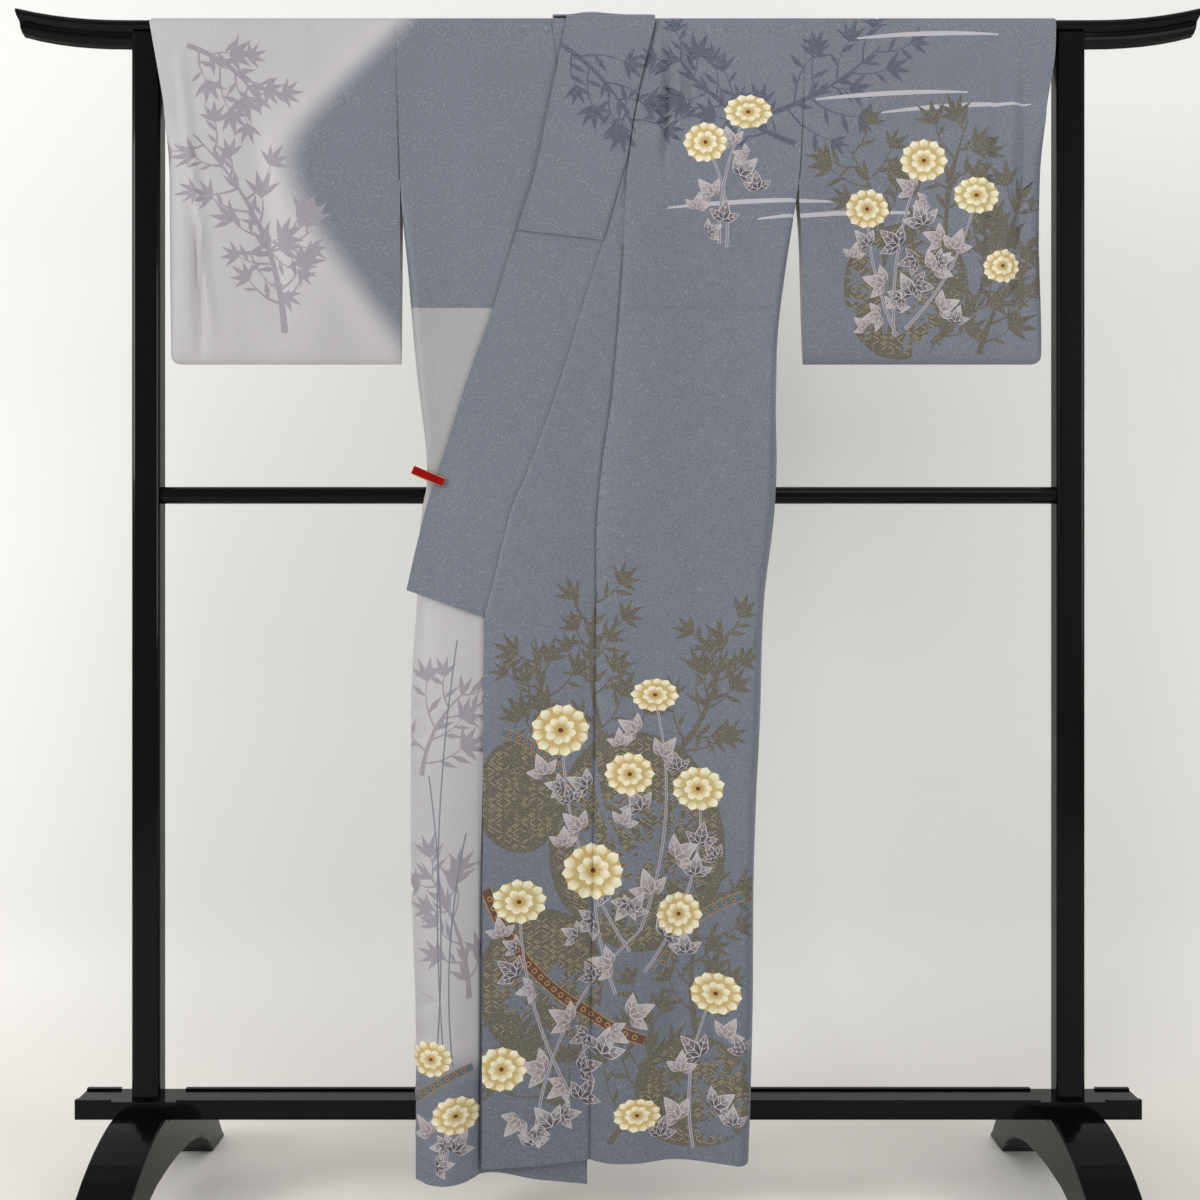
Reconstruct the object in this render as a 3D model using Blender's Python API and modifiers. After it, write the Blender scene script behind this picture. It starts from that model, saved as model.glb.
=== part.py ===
"""Silk kimono hung with its left front uppermost on a black lacquered kimono stand.

Frame: the origin is on the floor under the middle of the stand, +Z is up, and the
front of the garment looks along -Y.  Left and right are the wearer's: the left half
of the garment is at +X.  Every wall is a sheet laid out through level sections and
thickened evenly to both sides.
"""
import math
from collections import namedtuple

import bmesh
import bpy
from mathutils import Matrix

# ---------------------------------------------------------------- driving dimensions
SEAM_GAP = 0.0003            # clear space left between pieces that are sewn together
MERGE_WITHIN = 0.00001       # points of joined sheets closer than this become one
SILK_WALL = 0.0016           # lined silk
COLLAR_WALL = 0.0022         # the collar is cloth over a stiffer core

RAIL_HALF_LENGTH = 0.863
RAIL_BEND = 0.700            # from here outwards the rail sweeps up
RAIL_TIP_LIFT = 0.0175
RAIL_LIFT_POWER = 2.2
RAIL_TIP_SLANT = 0.010       # the end is cut back by this much at its lower edge
RAIL_SLANT_POWER = 3
RAIL_TOP = 1.733
RAIL_GROOVE = 1.7125         # height of the groove between the two lobes
RAIL_BOTTOM = 1.692
RAIL_UPPER_DEPTH = 0.036
RAIL_LOWER_DEPTH = 0.024
RAIL_GROOVE_DEPTH = 0.018
RAIL_ROUND = 0.0010
RAIL_ROUNDED_OVER = 60
RAIL_SHARP_OVER = 50
RAIL_UPPER_ARC = (-38, 218)  # degrees swept by the upper lobe, from the front round to the back
RAIL_LOWER_ARC = (140, 400)
RAIL_UPPER_STEPS = 10
RAIL_LOWER_STEPS = 6
RAIL_SWEEP_STEPS = 6         # stations along each swept end

UPRIGHT_X = 0.672
UPRIGHT_WIDTH = 0.041
UPRIGHT_DEPTH = 0.034
UPRIGHT_TOP = 1.7115
UPRIGHT_EDGE = 0.006

CROSSBAR_HEIGHT = 1.040
CROSSBAR_DIAMETER = 0.025

BEAM_HALF_LENGTH = 0.770
BEAM_DEPTH = 0.055
BEAM_BOTTOM = 0.137
BEAM_TOP = 0.1655            # top of the two raised lips
BEAM_LIP_HEIGHT = 0.003
BEAM_LIP_WIDTH = 0.007
BEAM_LIP_BREAK = 0.048       # the lips stop this far either side of an upright
CUTTER_HEIGHT = 0.020        # how far the beam's cutters stand above its tray
CUTTER_ABOVE = 0.01

FOOT_WIDTH = 0.076
FOOT_NOTCH = 0.0278          # half width of the notch that takes the beam
FOOT_PAD_START = 0.200
FOOT_PAD_EDGE = 0.003
FOOT_ROUND = 0.0025
FOOT_ROUNDED_OVER = 75
FOOT_SHARP_OVER = 30
FOOT_CURVE_STEPS = 2         # points for each stretch of the table of the upper line

CLIP_LENGTH = 0.049
CLIP_WIDTH = 0.0125
CLIP_SLOPE = math.radians(-23.0)
CLIP_CENTRE = (-0.2565, 1.0635)
CLIP_MOUTH = 0.0156          # clear width between the jaws
CLIP_SEAT = 0.0025           # front jaw to the collar's face beside the turn
CLIP_FRONT_JAW = 0.0040
CLIP_REAR_JAW = 0.0030
CLIP_HINGE = 0.0060
CLIP_ROUND = 0.0008
CLIP_ROUNDED_OVER = 80
CLIP_CHAMFER = 0.0010        # the ends of the jaws are cut off by this much

CENTRE_BACK = -0.007
NECK_RIGHT = -0.082
NECK_LEFT = 0.068
NECKLINE = 1.7085            # the back panels end here between the two neck points
KENSAKI = 1.530              # top point of the front overlap panels
COLLAR_END = 0.863           # height of the collar's end at its seam
COLLAR_END_FREE = 0.901      # height of the collar's end at its free edge
OVERCOLLAR_END = 1.405       # the over-collar ends here at the seam
COLLAR_WIDTH = 0.116
COLLAR_BACK_END = 0.0011     # the back collar stops this far short of the neck points
OKUMI_WIDTH = 0.150
ARMHOLE = 1.492              # sleeve and body are sewn together above this height
HEM = 0.0925

SLEEVE_BOTTOM = 1.2315
CUFF_BOTTOM = 1.505          # the cuff is open above this height
SLEEVE_CORNER = 0.013
SLEEVE_EDGE_ROLL = 0.028     # width over which front and back close at the outer edge

RAIL_CLEARANCE = 0.0015      # centre of the inner cloth to the lacquer
BEND_HEIGHT = 1.7228         # above this height the cloth bends over the rail
BEND_DEPTH = RAIL_UPPER_DEPTH / 2 + RAIL_CLEARANCE
BEND_RISE = RAIL_TOP + RAIL_CLEARANCE - BEND_HEIGHT
BEND_STEPS = 10

THINNING_START = 1.600       # the left front starts to close on the rail here
OVER_ROLL = (0.80, 0.90)     # the left front comes to ride over the roll between these heights
HEM_DROP_END = 0.600         # the right half's uneven hem is eased out below this height
HEM_DROP_RUN = 0.200         # and over this width from the centre back
BACK_EASE = (0.022, 0.100)   # the back leaves the side's depth over this distance from the turn
BY_CUFF_SHARE = 0.60         # share of a sleeve's width at which its back hangs like the cuff's
SLEEVE_SEWN_SHARE = 0.30     # share of a sleeve's width over which it leaves the body's depth
SLEEVE_SEWN_START = 1.440
CUFF_FULL = 1.600            # front and back stand fully apart at the cuff from here up
SHARP_CLOTH = math.radians(40)

# Angles between faces, in degrees, for the hard pieces.
SHARP_OVER = 40

# ---------------------------------------------------------------- tables
# Layers, hem to shoulder: depth of the inner front layer, how far the outer layer
# lies in front of it, share of the hem's wave, and depth of the back layer.
Layer = namedtuple("Layer", "height inner lift wave back")
LAYERS = (
    Layer(0.050, -0.0640, 0.0090, 1.00, -0.0300),
    Layer(0.170, -0.0625, 0.0085, 0.97, -0.0292),
    Layer(0.300, -0.0600, 0.0080, 0.91, -0.0270),
    Layer(0.500, -0.0560, 0.0070, 0.78, -0.0235),
    Layer(0.700, -0.0515, 0.0062, 0.65, -0.0200),
    Layer(0.860, -0.0470, 0.0055, 0.53, -0.0172),
    Layer(1.040, -0.0402, 0.0050, 0.38, -0.0142),
    Layer(1.200, -0.0332, 0.0050, 0.25, -0.0062),
    Layer(1.360, -0.0268, 0.0050, 0.15, 0.0018),
    Layer(1.492, -0.0228, 0.0048, 0.08, 0.0084),
    Layer(1.600, -0.0207, 0.0044, 0.03, 0.0139),
    Layer(1.7228, -BEND_DEPTH, 0.0026, 0.00, BEND_DEPTH),
)

# The front's wave at the hem.  place runs from -1 at the free edge of the overlap
# panel through 0 at its seam to 1 at the side.
Wave = namedtuple("Wave", "place depth")
WAVES = (
    Wave(-1.00, -0.0220),
    Wave(-0.55, -0.0110),
    Wave(-0.20, 0.0040),
    Wave(0.00, 0.0110),
    Wave(0.13, -0.0010),
    Wave(0.27, -0.0020),
    Wave(0.54, 0.0160),
    Wave(0.80, 0.0000),
    Wave(1.00, -0.0180),
)

# Edges of the left front, shoulder to hem.
LeftFront = namedtuple("LeftFront", "height okumi_seam side_turn outer seam_angle")
LEFT_FRONT = (
    LeftFront(0.050, -0.0275, 0.1810, 0.1965, 60.0),
    LeftFront(0.176, -0.0260, 0.1840, 0.2010, 58.0),
    LeftFront(0.300, -0.0250, 0.1870, 0.2045, 55.0),
    LeftFront(0.510, -0.0225, 0.1900, 0.2070, 50.0),
    LeftFront(0.715, -0.0200, 0.1990, 0.2163, 20.0),
    LeftFront(0.900, -0.0185, 0.2080, 0.2240, 14.0),
    LeftFront(1.002, -0.0175, 0.2145, 0.2370, 12.0),
    LeftFront(1.067, -0.0120, 0.2195, 0.2414, 14.0),
    LeftFront(1.177, 0.0035, 0.2280, 0.2415, 40.0),
    LeftFront(1.276, 0.0125, 0.2330, 0.2450, 75.0),
    LeftFront(1.360, 0.0190, 0.2435, 0.2555, 90.0),
    LeftFront(1.406, 0.0215, 0.2500, 0.2620, 90.0),
    LeftFront(1.511, 0.0262, 0.2640, 0.2763, 90.0),
    LeftFront(1.600, 0.0388, 0.2680, 0.2805, 90.0),
    LeftFront(1.7228, 0.0680, 0.2745, 0.2869, 90.0),
)

# The left collar, one table for each of its long edges.
Edge = namedtuple("Edge", "height x")
LEFT_COLLAR_SEAM = (
    Edge(0.863, -0.1770),
    Edge(0.898, -0.1672),
    Edge(0.972, -0.1500),
    Edge(1.022, -0.1370),
    Edge(1.059, -0.1210),
    Edge(1.119, -0.0980),
    Edge(1.216, -0.0652),
    Edge(1.318, -0.0354),
    Edge(1.405, -0.0075),
    Edge(1.480, 0.0140),
    Edge(1.530, 0.0284),
)
LEFT_COLLAR_FREE = (
    Edge(0.901, -0.2860),
    Edge(0.968, -0.2718),
    Edge(1.033, -0.2559),
    Edge(1.099, -0.2342),
    Edge(1.198, -0.2030),
    Edge(1.309, -0.1650),
    Edge(1.435, -0.1264),
    Edge(1.503, -0.1055),
    Edge(1.587, -0.0886),
    Edge(1.7228, -0.0610),
)

# Edges of the right front and the half tube into which it rolls below the clip.
RightFront = namedtuple("RightFront",
                        "height okumi_seam valley turn outer belly back seam_angle")
RIGHT_FRONT = (
    RightFront(0.050, -0.1800, -0.180, -0.2310, -0.2725, 0.0335, -0.0302, 178.0),
    RightFront(0.170, -0.1800, -0.180, -0.2320, -0.2728, 0.0305, -0.0294, 177.0),
    RightFront(0.300, -0.1795, -0.180, -0.2330, -0.2735, 0.0270, -0.0272, 175.0),
    RightFront(0.500, -0.1785, -0.181, -0.2350, -0.2802, 0.0200, -0.0238, 165.0),
    RightFront(0.660, -0.1740, -0.183, -0.2360, -0.2809, 0.0147, -0.0210, 155.0),
    RightFront(0.793, -0.1660, -0.186, -0.2360, -0.2798, 0.0090, -0.0190, 145.0),
    RightFront(0.860, -0.1600, -0.188, -0.2370, -0.2755, 0.0050, -0.0182, 132.0),
    RightFront(0.945, -0.1300, -0.192, -0.2405, -0.2735, 0.0010, -0.0200, 112.0),
    RightFront(1.005, -0.1030, -0.196, -0.2470, -0.2680, -0.0030, -0.0285, 99.0),
    RightFront(1.030, -0.0940, -0.198, -0.2505, -0.2640, -0.0050, -0.0345, 92.0),
    RightFront(1.045, -0.0900, -0.199, -0.2520, -0.2606, -0.0060, -0.0356, 90.0),
    RightFront(1.063, -0.0860, -0.200, -0.2525, -0.2596, -0.0060, -0.0360, 90.0),
    RightFront(1.082, -0.0815, -0.200, -0.2520, -0.2596, -0.0060, -0.0356, 90.0),
    RightFront(1.105, -0.0770, -0.200, -0.2525, -0.2612, -0.0045, -0.0325, 90.0),
    RightFront(1.150, -0.0700, -0.200, -0.2570, -0.2672, -0.0015, -0.0200, 90.0),
    RightFront(1.200, -0.0630, -0.200, -0.2625, -0.2742, 0.0000, -0.0095, 90.0),
    RightFront(1.280, -0.0530, -0.200, -0.2705, -0.2825, 0.0000, -0.0028, 90.0),
    RightFront(1.360, -0.0480, -0.200, -0.2775, -0.2895, 0.0000, 0.0018, 90.0),
    RightFront(1.492, -0.0520, -0.200, -0.2885, -0.3006, 0.0000, 0.0084, 90.0),
    RightFront(1.530, -0.0550, -0.200, -0.2900, -0.3020, 0.0000, 0.0103, 90.0),
    RightFront(1.600, -0.0630, -0.200, -0.2925, -0.3045, 0.0000, 0.0139, 90.0),
    RightFront(1.7228, -0.0820, -0.200, -0.2960, -0.3080, 0.0000, BEND_DEPTH, 90.0),
)

# Height of the right half's hem across it; the hidden panel's corner hangs lowest.
HemPoint = namedtuple("HemPoint", "x height")
RIGHT_HEM = (
    HemPoint(-0.2700, 0.0800),
    HemPoint(-0.2300, 0.0785),
    HemPoint(-0.1950, 0.0800),
    HemPoint(-0.1790, 0.0840),
    HemPoint(-0.0970, 0.0690),
    HemPoint(-0.0320, 0.0550),
)

# How much the armhole slit is drawn shut at the side, from sewn (1) to flat (0).
Slit = namedtuple("Slit", "height closed")
SIDE_SLIT = (Slit(1.360, 1.0), Slit(1.400, 0.72), Slit(1.440, 0.32), Slit(1.492, 0.0))

# Width of a front overlap panel from its top point down to the end of the collar.
OkumiWidth = namedtuple("OkumiWidth", "height width")
OKUMI_WIDTHS = (
    OkumiWidth(0.863, 0.1500),
    OkumiWidth(0.950, 0.1340),
    OkumiWidth(1.060, 0.1080),
    OkumiWidth(1.216, 0.0720),
    OkumiWidth(1.318, 0.0510),
    OkumiWidth(1.405, 0.0290),
    OkumiWidth(1.480, 0.0110),
    OkumiWidth(1.530, 0.0000),
)

# Soft folds of the back, each a ridge that swells towards the front.
BackFold = namedtuple("BackFold", "hem_x top_x half_width depth top")
BACK_FOLDS = (
    BackFold(-0.145, -0.180, 0.050, 0.0170, 1.24),
    BackFold(0.008, 0.020, 0.052, 0.0160, 1.12),
    BackFold(0.128, 0.160, 0.044, 0.0185, 1.30),
)

# Depth of the sleeves' front and back, bottom seam to armhole.  The back leans
# forwards beside the body, and hangs straight from the rail at the cuff.
SleeveLayer = namedtuple("SleeveLayer", "height front back back_at_cuff")
SLEEVE_LAYERS = (
    SleeveLayer(1.2315, -0.0030, -0.0030, -0.0030),
    SleeveLayer(1.2360, -0.0062, -0.0002, 0.0002),
    SleeveLayer(1.2450, -0.0086, 0.0014, 0.0024),
    SleeveLayer(1.2650, -0.0118, 0.0030, 0.0052),
    SleeveLayer(1.3200, -0.0172, 0.0052, 0.0092),
    SleeveLayer(1.4000, -0.0214, 0.0066, 0.0140),
    SleeveLayer(1.4920, -0.0240, 0.0084, 0.0174),
    SleeveLayer(1.6000, -0.0214, 0.0139, 0.0192),
    SleeveLayer(1.7228, -BEND_DEPTH, BEND_DEPTH, BEND_DEPTH),
)
# Edges of the sleeves; above the armhole's end the inner edge is the body's seam.
SleeveEdge = namedtuple("SleeveEdge", "height inner outer")
RIGHT_SLEEVE = (
    SleeveEdge(1.2315, -0.3018, -0.6373),
    SleeveEdge(1.2560, -0.3017, -0.6375),
    SleeveEdge(1.4200, -0.3010, -0.6385),
    SleeveEdge(1.4920, -0.3007, -0.6390),
    SleeveEdge(1.5300, -0.3020, -0.6395),
    SleeveEdge(1.5960, -0.3040, -0.6425),
    SleeveEdge(1.6600, -0.3060, -0.6530),
    SleeveEdge(1.7228, -0.3080, -0.6644),
)
LEFT_SLEEVE = (
    SleeveEdge(1.2315, 0.2839, 0.6314),
    SleeveEdge(1.2580, 0.2830, 0.6314),
    SleeveEdge(1.4224, 0.2785, 0.6274),
    SleeveEdge(1.4920, 0.2748, 0.6285),
    SleeveEdge(1.5110, 0.2763, 0.6292),
    SleeveEdge(1.5960, 0.2804, 0.6340),
    SleeveEdge(1.6846, 0.2847, 0.6475),
    SleeveEdge(1.7228, 0.2869, 0.6485),
)

# Section of the back collar from the neckline up, over the rail and forwards.
CollarBack = namedtuple("CollarBack", "y low high")
COLLAR_BACK = (
    CollarBack(0.0195, 1.7092, 1.7092),
    CollarBack(0.0203, 1.7200, 1.7210),
    CollarBack(0.0192, 1.7300, 1.7335),
    CollarBack(0.0145, 1.7368, 1.7428),
    CollarBack(0.0070, 1.7388, 1.7468),
    CollarBack(-0.0020, 1.7392, 1.7458),
    CollarBack(-0.0098, 1.7381, 1.7384),
)
# How far the back collar stands up along its run.
CollarHump = namedtuple("CollarHump", "x share")
COLLAR_HUMP = (
    CollarHump(-0.080, 0.10),
    CollarHump(-0.055, 0.45),
    CollarHump(-0.030, 1.00),
    CollarHump(0.000, 0.70),
    CollarHump(0.030, 0.30),
    CollarHump(0.066, 0.10),
)

# Upper line of a foot, from beside the notch out to the toe, and its underside.
FootPoint = namedtuple("FootPoint", "y z")
FOOT_TOP = (
    FootPoint(0.0278, 0.1455),
    FootPoint(0.0600, 0.1425),
    FootPoint(0.1000, 0.1330),
    FootPoint(0.1400, 0.1175),
    FootPoint(0.1860, 0.0900),
    FootPoint(0.2150, 0.0650),
    FootPoint(0.2400, 0.0370),
    FootPoint(0.2580, 0.0130),
    FootPoint(0.2700, 0.0030),
)
FOOT_UNDER = (
    FootPoint(0.2000, 0.0030),
    FootPoint(0.1900, 0.0120),
    FootPoint(0.1650, 0.0330),
    FootPoint(0.1300, 0.0510),
    FootPoint(0.0800, 0.0630),
    FootPoint(0.0300, 0.0670),
)

BODY_HEIGHTS = (0.0925, 0.180, 0.280, 0.390, 0.500, 0.610, 0.710, 0.790, 0.863,
                0.910, 0.960, 1.005, 1.030, 1.046, 1.063, 1.081, 1.105, 1.135,
                1.170, 1.225, 1.290, 1.360, 1.405, 1.445, 1.492, 1.560, 1.600, 1.640, 1.7085)
SLEEVE_HEIGHTS = (1.2315, 1.2360, 1.2450, 1.2650, 1.3000, 1.3500, 1.4100, 1.4550,
                  1.4920, 1.5050, 1.5300, 1.5600, 1.6000, 1.6400, 1.7085)
SLEEVE_SHARES = (0.0, 0.13, 0.27, 0.41, 0.55, 0.69, 0.81, 0.915, 0.96, 0.985, 1.0)


# ---------------------------------------------------------------- curves from tables
def through(table, at, column, key="height"):
    """Read a smooth curve through one column of a table."""
    places = [getattr(row, key) for row in table]
    values = [getattr(row, column) for row in table]
    at = min(max(at, places[0]), places[-1])
    last = len(places) - 2
    index = 0
    while index < last and at > places[index + 1]:
        index += 1
    step = places[index + 1] - places[index]
    slope = (values[index + 1] - values[index]) / step
    before = after = slope
    if index > 0:
        span = places[index] - places[index - 1]
        before = (slope * span + (values[index] - values[index - 1]) / span * step) / (span + step)
    if index < last:
        span = places[index + 2] - places[index + 1]
        after = (slope * span + (values[index + 2] - values[index + 1]) / span * step) / (span + step)
    t = (at - places[index]) / step
    rise = step * ((t ** 3 - 2 * t ** 2 + t) * before + (t ** 3 - t ** 2) * after)
    return (values[index] * (2 * t ** 3 - 3 * t ** 2 + 1)
            + values[index + 1] * (3 * t ** 2 - 2 * t ** 3) + rise)


def mix(start, end, share):
    return start + (end - start) * share


def smooth_step(low, high, at):
    share = min(max((at - low) / (high - low), 0.0), 1.0)
    return share * share * (3 - 2 * share)


# ---------------------------------------------------------------- layers of the front
def wave_depth(x, z):
    """Forward and back wave of the fronts, full at the hem and gone at the rail."""
    seam = through(LEFT_FRONT, z, "okumi_seam")
    if x < seam:
        place = (x - seam) / OKUMI_WIDTH
    else:
        place = (x - seam) / (through(LEFT_FRONT, z, "outer") - seam)
    return through(WAVES, place, "depth", "place") * through(LAYERS, z, "wave")


def inner_front(x, z):
    """Depth of the inner front layer, the half tube at the right left out."""
    return through(LAYERS, z, "inner") + wave_depth(x, z)


def roll_depth(x, z):
    """How far the right front bellies forward between its valley and its turn."""
    valley = through(RIGHT_FRONT, z, "valley")
    turn = through(RIGHT_FRONT, z, "turn")
    if x >= valley:
        return 0.0
    share = max((x - turn) / (valley - turn), 0.0)
    return -through(RIGHT_FRONT, z, "belly") * math.cos(math.pi / 2 * share)


def outer_front(x, z, on_rail=0.0):
    """Depth of the outer front layer, which rides over the roll above the collar's end."""
    lift = through(LAYERS, z, "lift") - on_rail * smooth_step(THINNING_START, BEND_HEIGHT, z)
    over_roll = roll_depth(x, z) * smooth_step(*OVER_ROLL, z)
    return inner_front(x, z) + over_roll - lift


def back_depth(x, z):
    """Depth of the back layer with its soft folds."""
    depth = through(LAYERS, z, "back")
    for fold in BACK_FOLDS:
        rise = smooth_step(fold.top, HEM, z)
        centre = mix(fold.hem_x, fold.top_x, (z - HEM) / (fold.top - HEM))
        away = abs(x - centre) / fold.half_width
        if away < 1.0:
            depth -= fold.depth * rise * math.cos(math.pi / 2 * away) ** 2
    return depth


def hem_drop(x, z):
    """How far the right half is let down at a point so that its hem is uneven."""
    share = 1.0 - smooth_step(HEM, HEM_DROP_END, z)
    return (through(RIGHT_HEM, x, "height", "x") - HEM) * share


# ---------------------------------------------------------------- sheets
def over_rail(x, turn, lift=0.0):
    """A point of the bend over the rail; turn runs from 0 at the front to 1 at the back."""
    angle = math.pi * turn
    return (x,
            -(BEND_DEPTH + lift) * math.cos(angle),
            BEND_HEIGHT + (BEND_RISE + lift) * math.sin(angle))


def sheet(columns, rows, place):
    """An open sheet of columns x rows points, each put where place(column, row) says."""
    mesh = bmesh.new()
    bmesh.ops.create_grid(mesh, x_segments=columns - 1, y_segments=rows - 1, size=1.0)
    for vertex in mesh.verts:
        column = round((vertex.co.x + 1) / 2 * (columns - 1))
        row = round((vertex.co.y + 1) / 2 * (rows - 1))
        vertex.co = place(column, row)
    return mesh


def joined(first, second):
    """The second sheet's faces added to the first, and their common edges sewn."""
    added = bpy.data.meshes.new("added")
    second.to_mesh(added)
    second.free()
    first.from_mesh(added)
    bpy.data.meshes.remove(added)
    bmesh.ops.remove_doubles(first, verts=first.verts[:], dist=MERGE_WITHIN)
    return first


def turn_outwards(mesh, forward):
    """Point the sheet's faces towards the front where forward is True."""
    bmesh.ops.recalc_face_normals(mesh, faces=mesh.faces[:])
    front = min(mesh.faces, key=lambda face: face.calc_center_median().y)
    if (front.normal.y < 0) != forward:
        bmesh.ops.reverse_faces(mesh, faces=mesh.faces[:])


def cloth(name, mesh, wall, material):
    """A named solid of the sheet's form with an even wall."""
    turn_outwards(mesh, True)
    data = bpy.data.meshes.new(name)
    mesh.to_mesh(data)
    mesh.free()
    piece = add_object(name, data, material)
    thick = piece.modifiers.new("Wall", "SOLIDIFY")
    thick.thickness = wall
    thick.offset = 0.0
    data.shade_smooth()
    data.set_sharp_from_angle(angle=SHARP_CLOTH)
    return piece


# ---------------------------------------------------------------- the two body halves
FRONT_RUN = 7                # columns across a front up to its turn
FRONT_TURN = 3               # columns round the side up to the side seam
BACK_TURN = 3
BACK_RUN = 7                 # columns from the turn to the neck point
BACK_NECK = 3                # columns from the neck point to the centre back


def turn_point(side, angle, own, closed):
    """A point of the side's half oval, flattened to its own depth where the side is open."""
    centre, outer, front, back = side
    swing = math.radians(angle)
    middle = (front + back) / 2
    rounded = middle + (front - middle) * math.cos(swing)
    return centre + (outer - centre) * math.sin(swing), mix(own, rounded, closed)


def left_side(z):
    """Centre, outermost point, front and back depth of the left side's turn."""
    turn = through(LEFT_FRONT, z, "side_turn")
    return (turn, through(LEFT_FRONT, z, "outer"),
            outer_front(turn, z, through(LAYERS, z, "lift")), back_depth(turn, z))


def right_side(z):
    turn = through(RIGHT_FRONT, z, "turn")
    return (turn, through(RIGHT_FRONT, z, "outer"),
            inner_front(turn, z) + roll_depth(turn, z), through(RIGHT_FRONT, z, "back"))


def left_front_run(share, z):
    start = through(LEFT_FRONT, z, "okumi_seam") + SEAM_GAP
    x = mix(start, through(LEFT_FRONT, z, "side_turn"), share)
    return x, outer_front(x, z, through(LAYERS, z, "lift")), z


def right_front_run(share, z):
    start = through(RIGHT_FRONT, z, "okumi_seam") - SEAM_GAP
    x = mix(start, through(RIGHT_FRONT, z, "turn"), share)
    return x, inner_front(x, z) + roll_depth(x, z), z + hem_drop(x, z)


def back_run(x, z, side):
    """Back layer, easing from the side's own depth into the folds."""
    turn, back = side
    ease = smooth_step(*BACK_EASE, abs(x - turn))
    return mix(back, back_depth(x, z), ease)


def body_half(name, sign, front_run, side_of, seam_angle, neck, material):
    """One length of cloth from the front hem over the shoulder to the back hem."""
    heights = BODY_HEIGHTS + (BEND_HEIGHT,)
    level = len(heights)
    rows = level + BEND_STEPS // 2
    centre_edge = CENTRE_BACK + sign * SEAM_GAP / 2

    def bend_x(share):
        turn, outer = side_of(BEND_HEIGHT)[:2]
        return mix(neck, turn, share) if share <= 1.0 else mix(turn, outer, share - 1.0)

    def lowered(x, z):
        drop = hem_drop(x, z) if sign < 0 else 0.0
        return z + drop * smooth_step(CENTRE_BACK, CENTRE_BACK + sign * HEM_DROP_RUN, x)

    def front_place(column, row):
        run_share = min(column / FRONT_RUN, 1.0)
        turn_share = max(column - FRONT_RUN, 0) / FRONT_TURN
        if row >= level:
            half = (row - level + 1) / BEND_STEPS
            swing = math.sin(math.pi / 2 * turn_share)
            return over_rail(bend_x(run_share + swing), half)
        z = heights[row]
        if turn_share == 0.0:
            return front_run(run_share, z)
        side = side_of(z)
        angle = through(seam_angle, z, "seam_angle") * turn_share
        x, y = turn_point(side, angle, side[2], through(SIDE_SLIT, z, "closed"))
        return x, y, lowered(x, z)

    def back_place(column, row):
        turn_share = max(BACK_TURN - column, 0) / BACK_TURN
        run = max(column - BACK_TURN, 0)
        if row >= level:
            half = 1.0 - (row - level + 1) / BEND_STEPS
            swing = math.sin(math.pi / 2 * turn_share)
            share = max(1.0 - run / BACK_RUN, 0.0) + swing
            return over_rail(bend_x(share), half)
        z = heights[row]
        side = side_of(z)
        turn, back = side[0], side[3]
        if turn_share > 0.0:
            angle = mix(180.0, through(seam_angle, z, "seam_angle"), turn_share)
            x, y = turn_point(side, angle, back, through(SIDE_SLIT, z, "closed"))
            return x, y, lowered(x, z)
        if run <= BACK_RUN:
            x = mix(turn, neck, run / BACK_RUN)
        else:
            x = mix(neck, centre_edge, (run - BACK_RUN) / BACK_NECK)
        return x, back_run(x, z, (turn, back)), lowered(x, z)

    mesh = sheet(FRONT_RUN + FRONT_TURN + 1, rows, front_place)
    back = sheet(BACK_TURN + BACK_RUN + BACK_NECK + 1, rows, back_place)
    between = [face for face in back.faces
               if face.calc_center_median().z > NECKLINE
               and (face.calc_center_median().x - neck) * sign < 0]
    bmesh.ops.delete(back, geom=between, context="FACES")
    return cloth(name, joined(mesh, back), SILK_WALL, material)


# ---------------------------------------------------------------- overlap panels
OKUMI_COLUMNS = 6
OKUMI_TOP = 1.512


def okumi_width(z):
    return through(OKUMI_WIDTHS, z, "width")


def okumi_heights():
    return [height for height in BODY_HEIGHTS if height < OKUMI_TOP] + [OKUMI_TOP]


def okumi_left(material):
    """Outer overlap panel, from its seam to the collar or to its free edge."""
    heights = okumi_heights()

    def place(column, row):
        z = heights[row]
        seam = through(LEFT_FRONT, z, "okumi_seam") - SEAM_GAP
        free = left_collar_seam(z) + SEAM_GAP
        x = mix(seam, free, column / (OKUMI_COLUMNS - 1))
        return x, outer_front(x, z), z

    return cloth("okumi_left", sheet(OKUMI_COLUMNS, len(heights), place), SILK_WALL, material)


def okumi_right(material):
    """Inner overlap panel, hidden but for the corner of its hem."""
    heights = okumi_heights()

    def place(column, row):
        z = heights[row]
        seam = through(RIGHT_FRONT, z, "okumi_seam") + SEAM_GAP
        x = mix(seam, seam + okumi_width(z) - SEAM_GAP * 2, column / (OKUMI_COLUMNS - 1))
        return x, inner_front(x, z), z + hem_drop(x, z)

    return cloth("okumi_right", sheet(OKUMI_COLUMNS, len(heights), place), SILK_WALL, material)


# ---------------------------------------------------------------- collar
COLLAR_COLUMNS = 6
COLLAR_BEND_ROWS = 4
COLLAR_BEND_END = 0.36       # share of the bend over the rail that the ribbon reaches


def left_collar_seam(z):
    if z > KENSAKI:
        return through(LEFT_FRONT, z, "okumi_seam")
    return through(LEFT_COLLAR_SEAM, z, "x")


def left_ribbon(seam_z, across):
    """A point of the left collar ribbon, across from the seam at the given height."""
    run = (BEND_HEIGHT - seam_z) / (BEND_HEIGHT - COLLAR_END)
    free_z = mix(BEND_HEIGHT, COLLAR_END_FREE, run)
    seam_x = left_collar_seam(seam_z) - SEAM_GAP
    free_x = through(LEFT_COLLAR_FREE, free_z, "x")
    return mix(seam_x, free_x, across), mix(seam_z, free_z, across)


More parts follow.
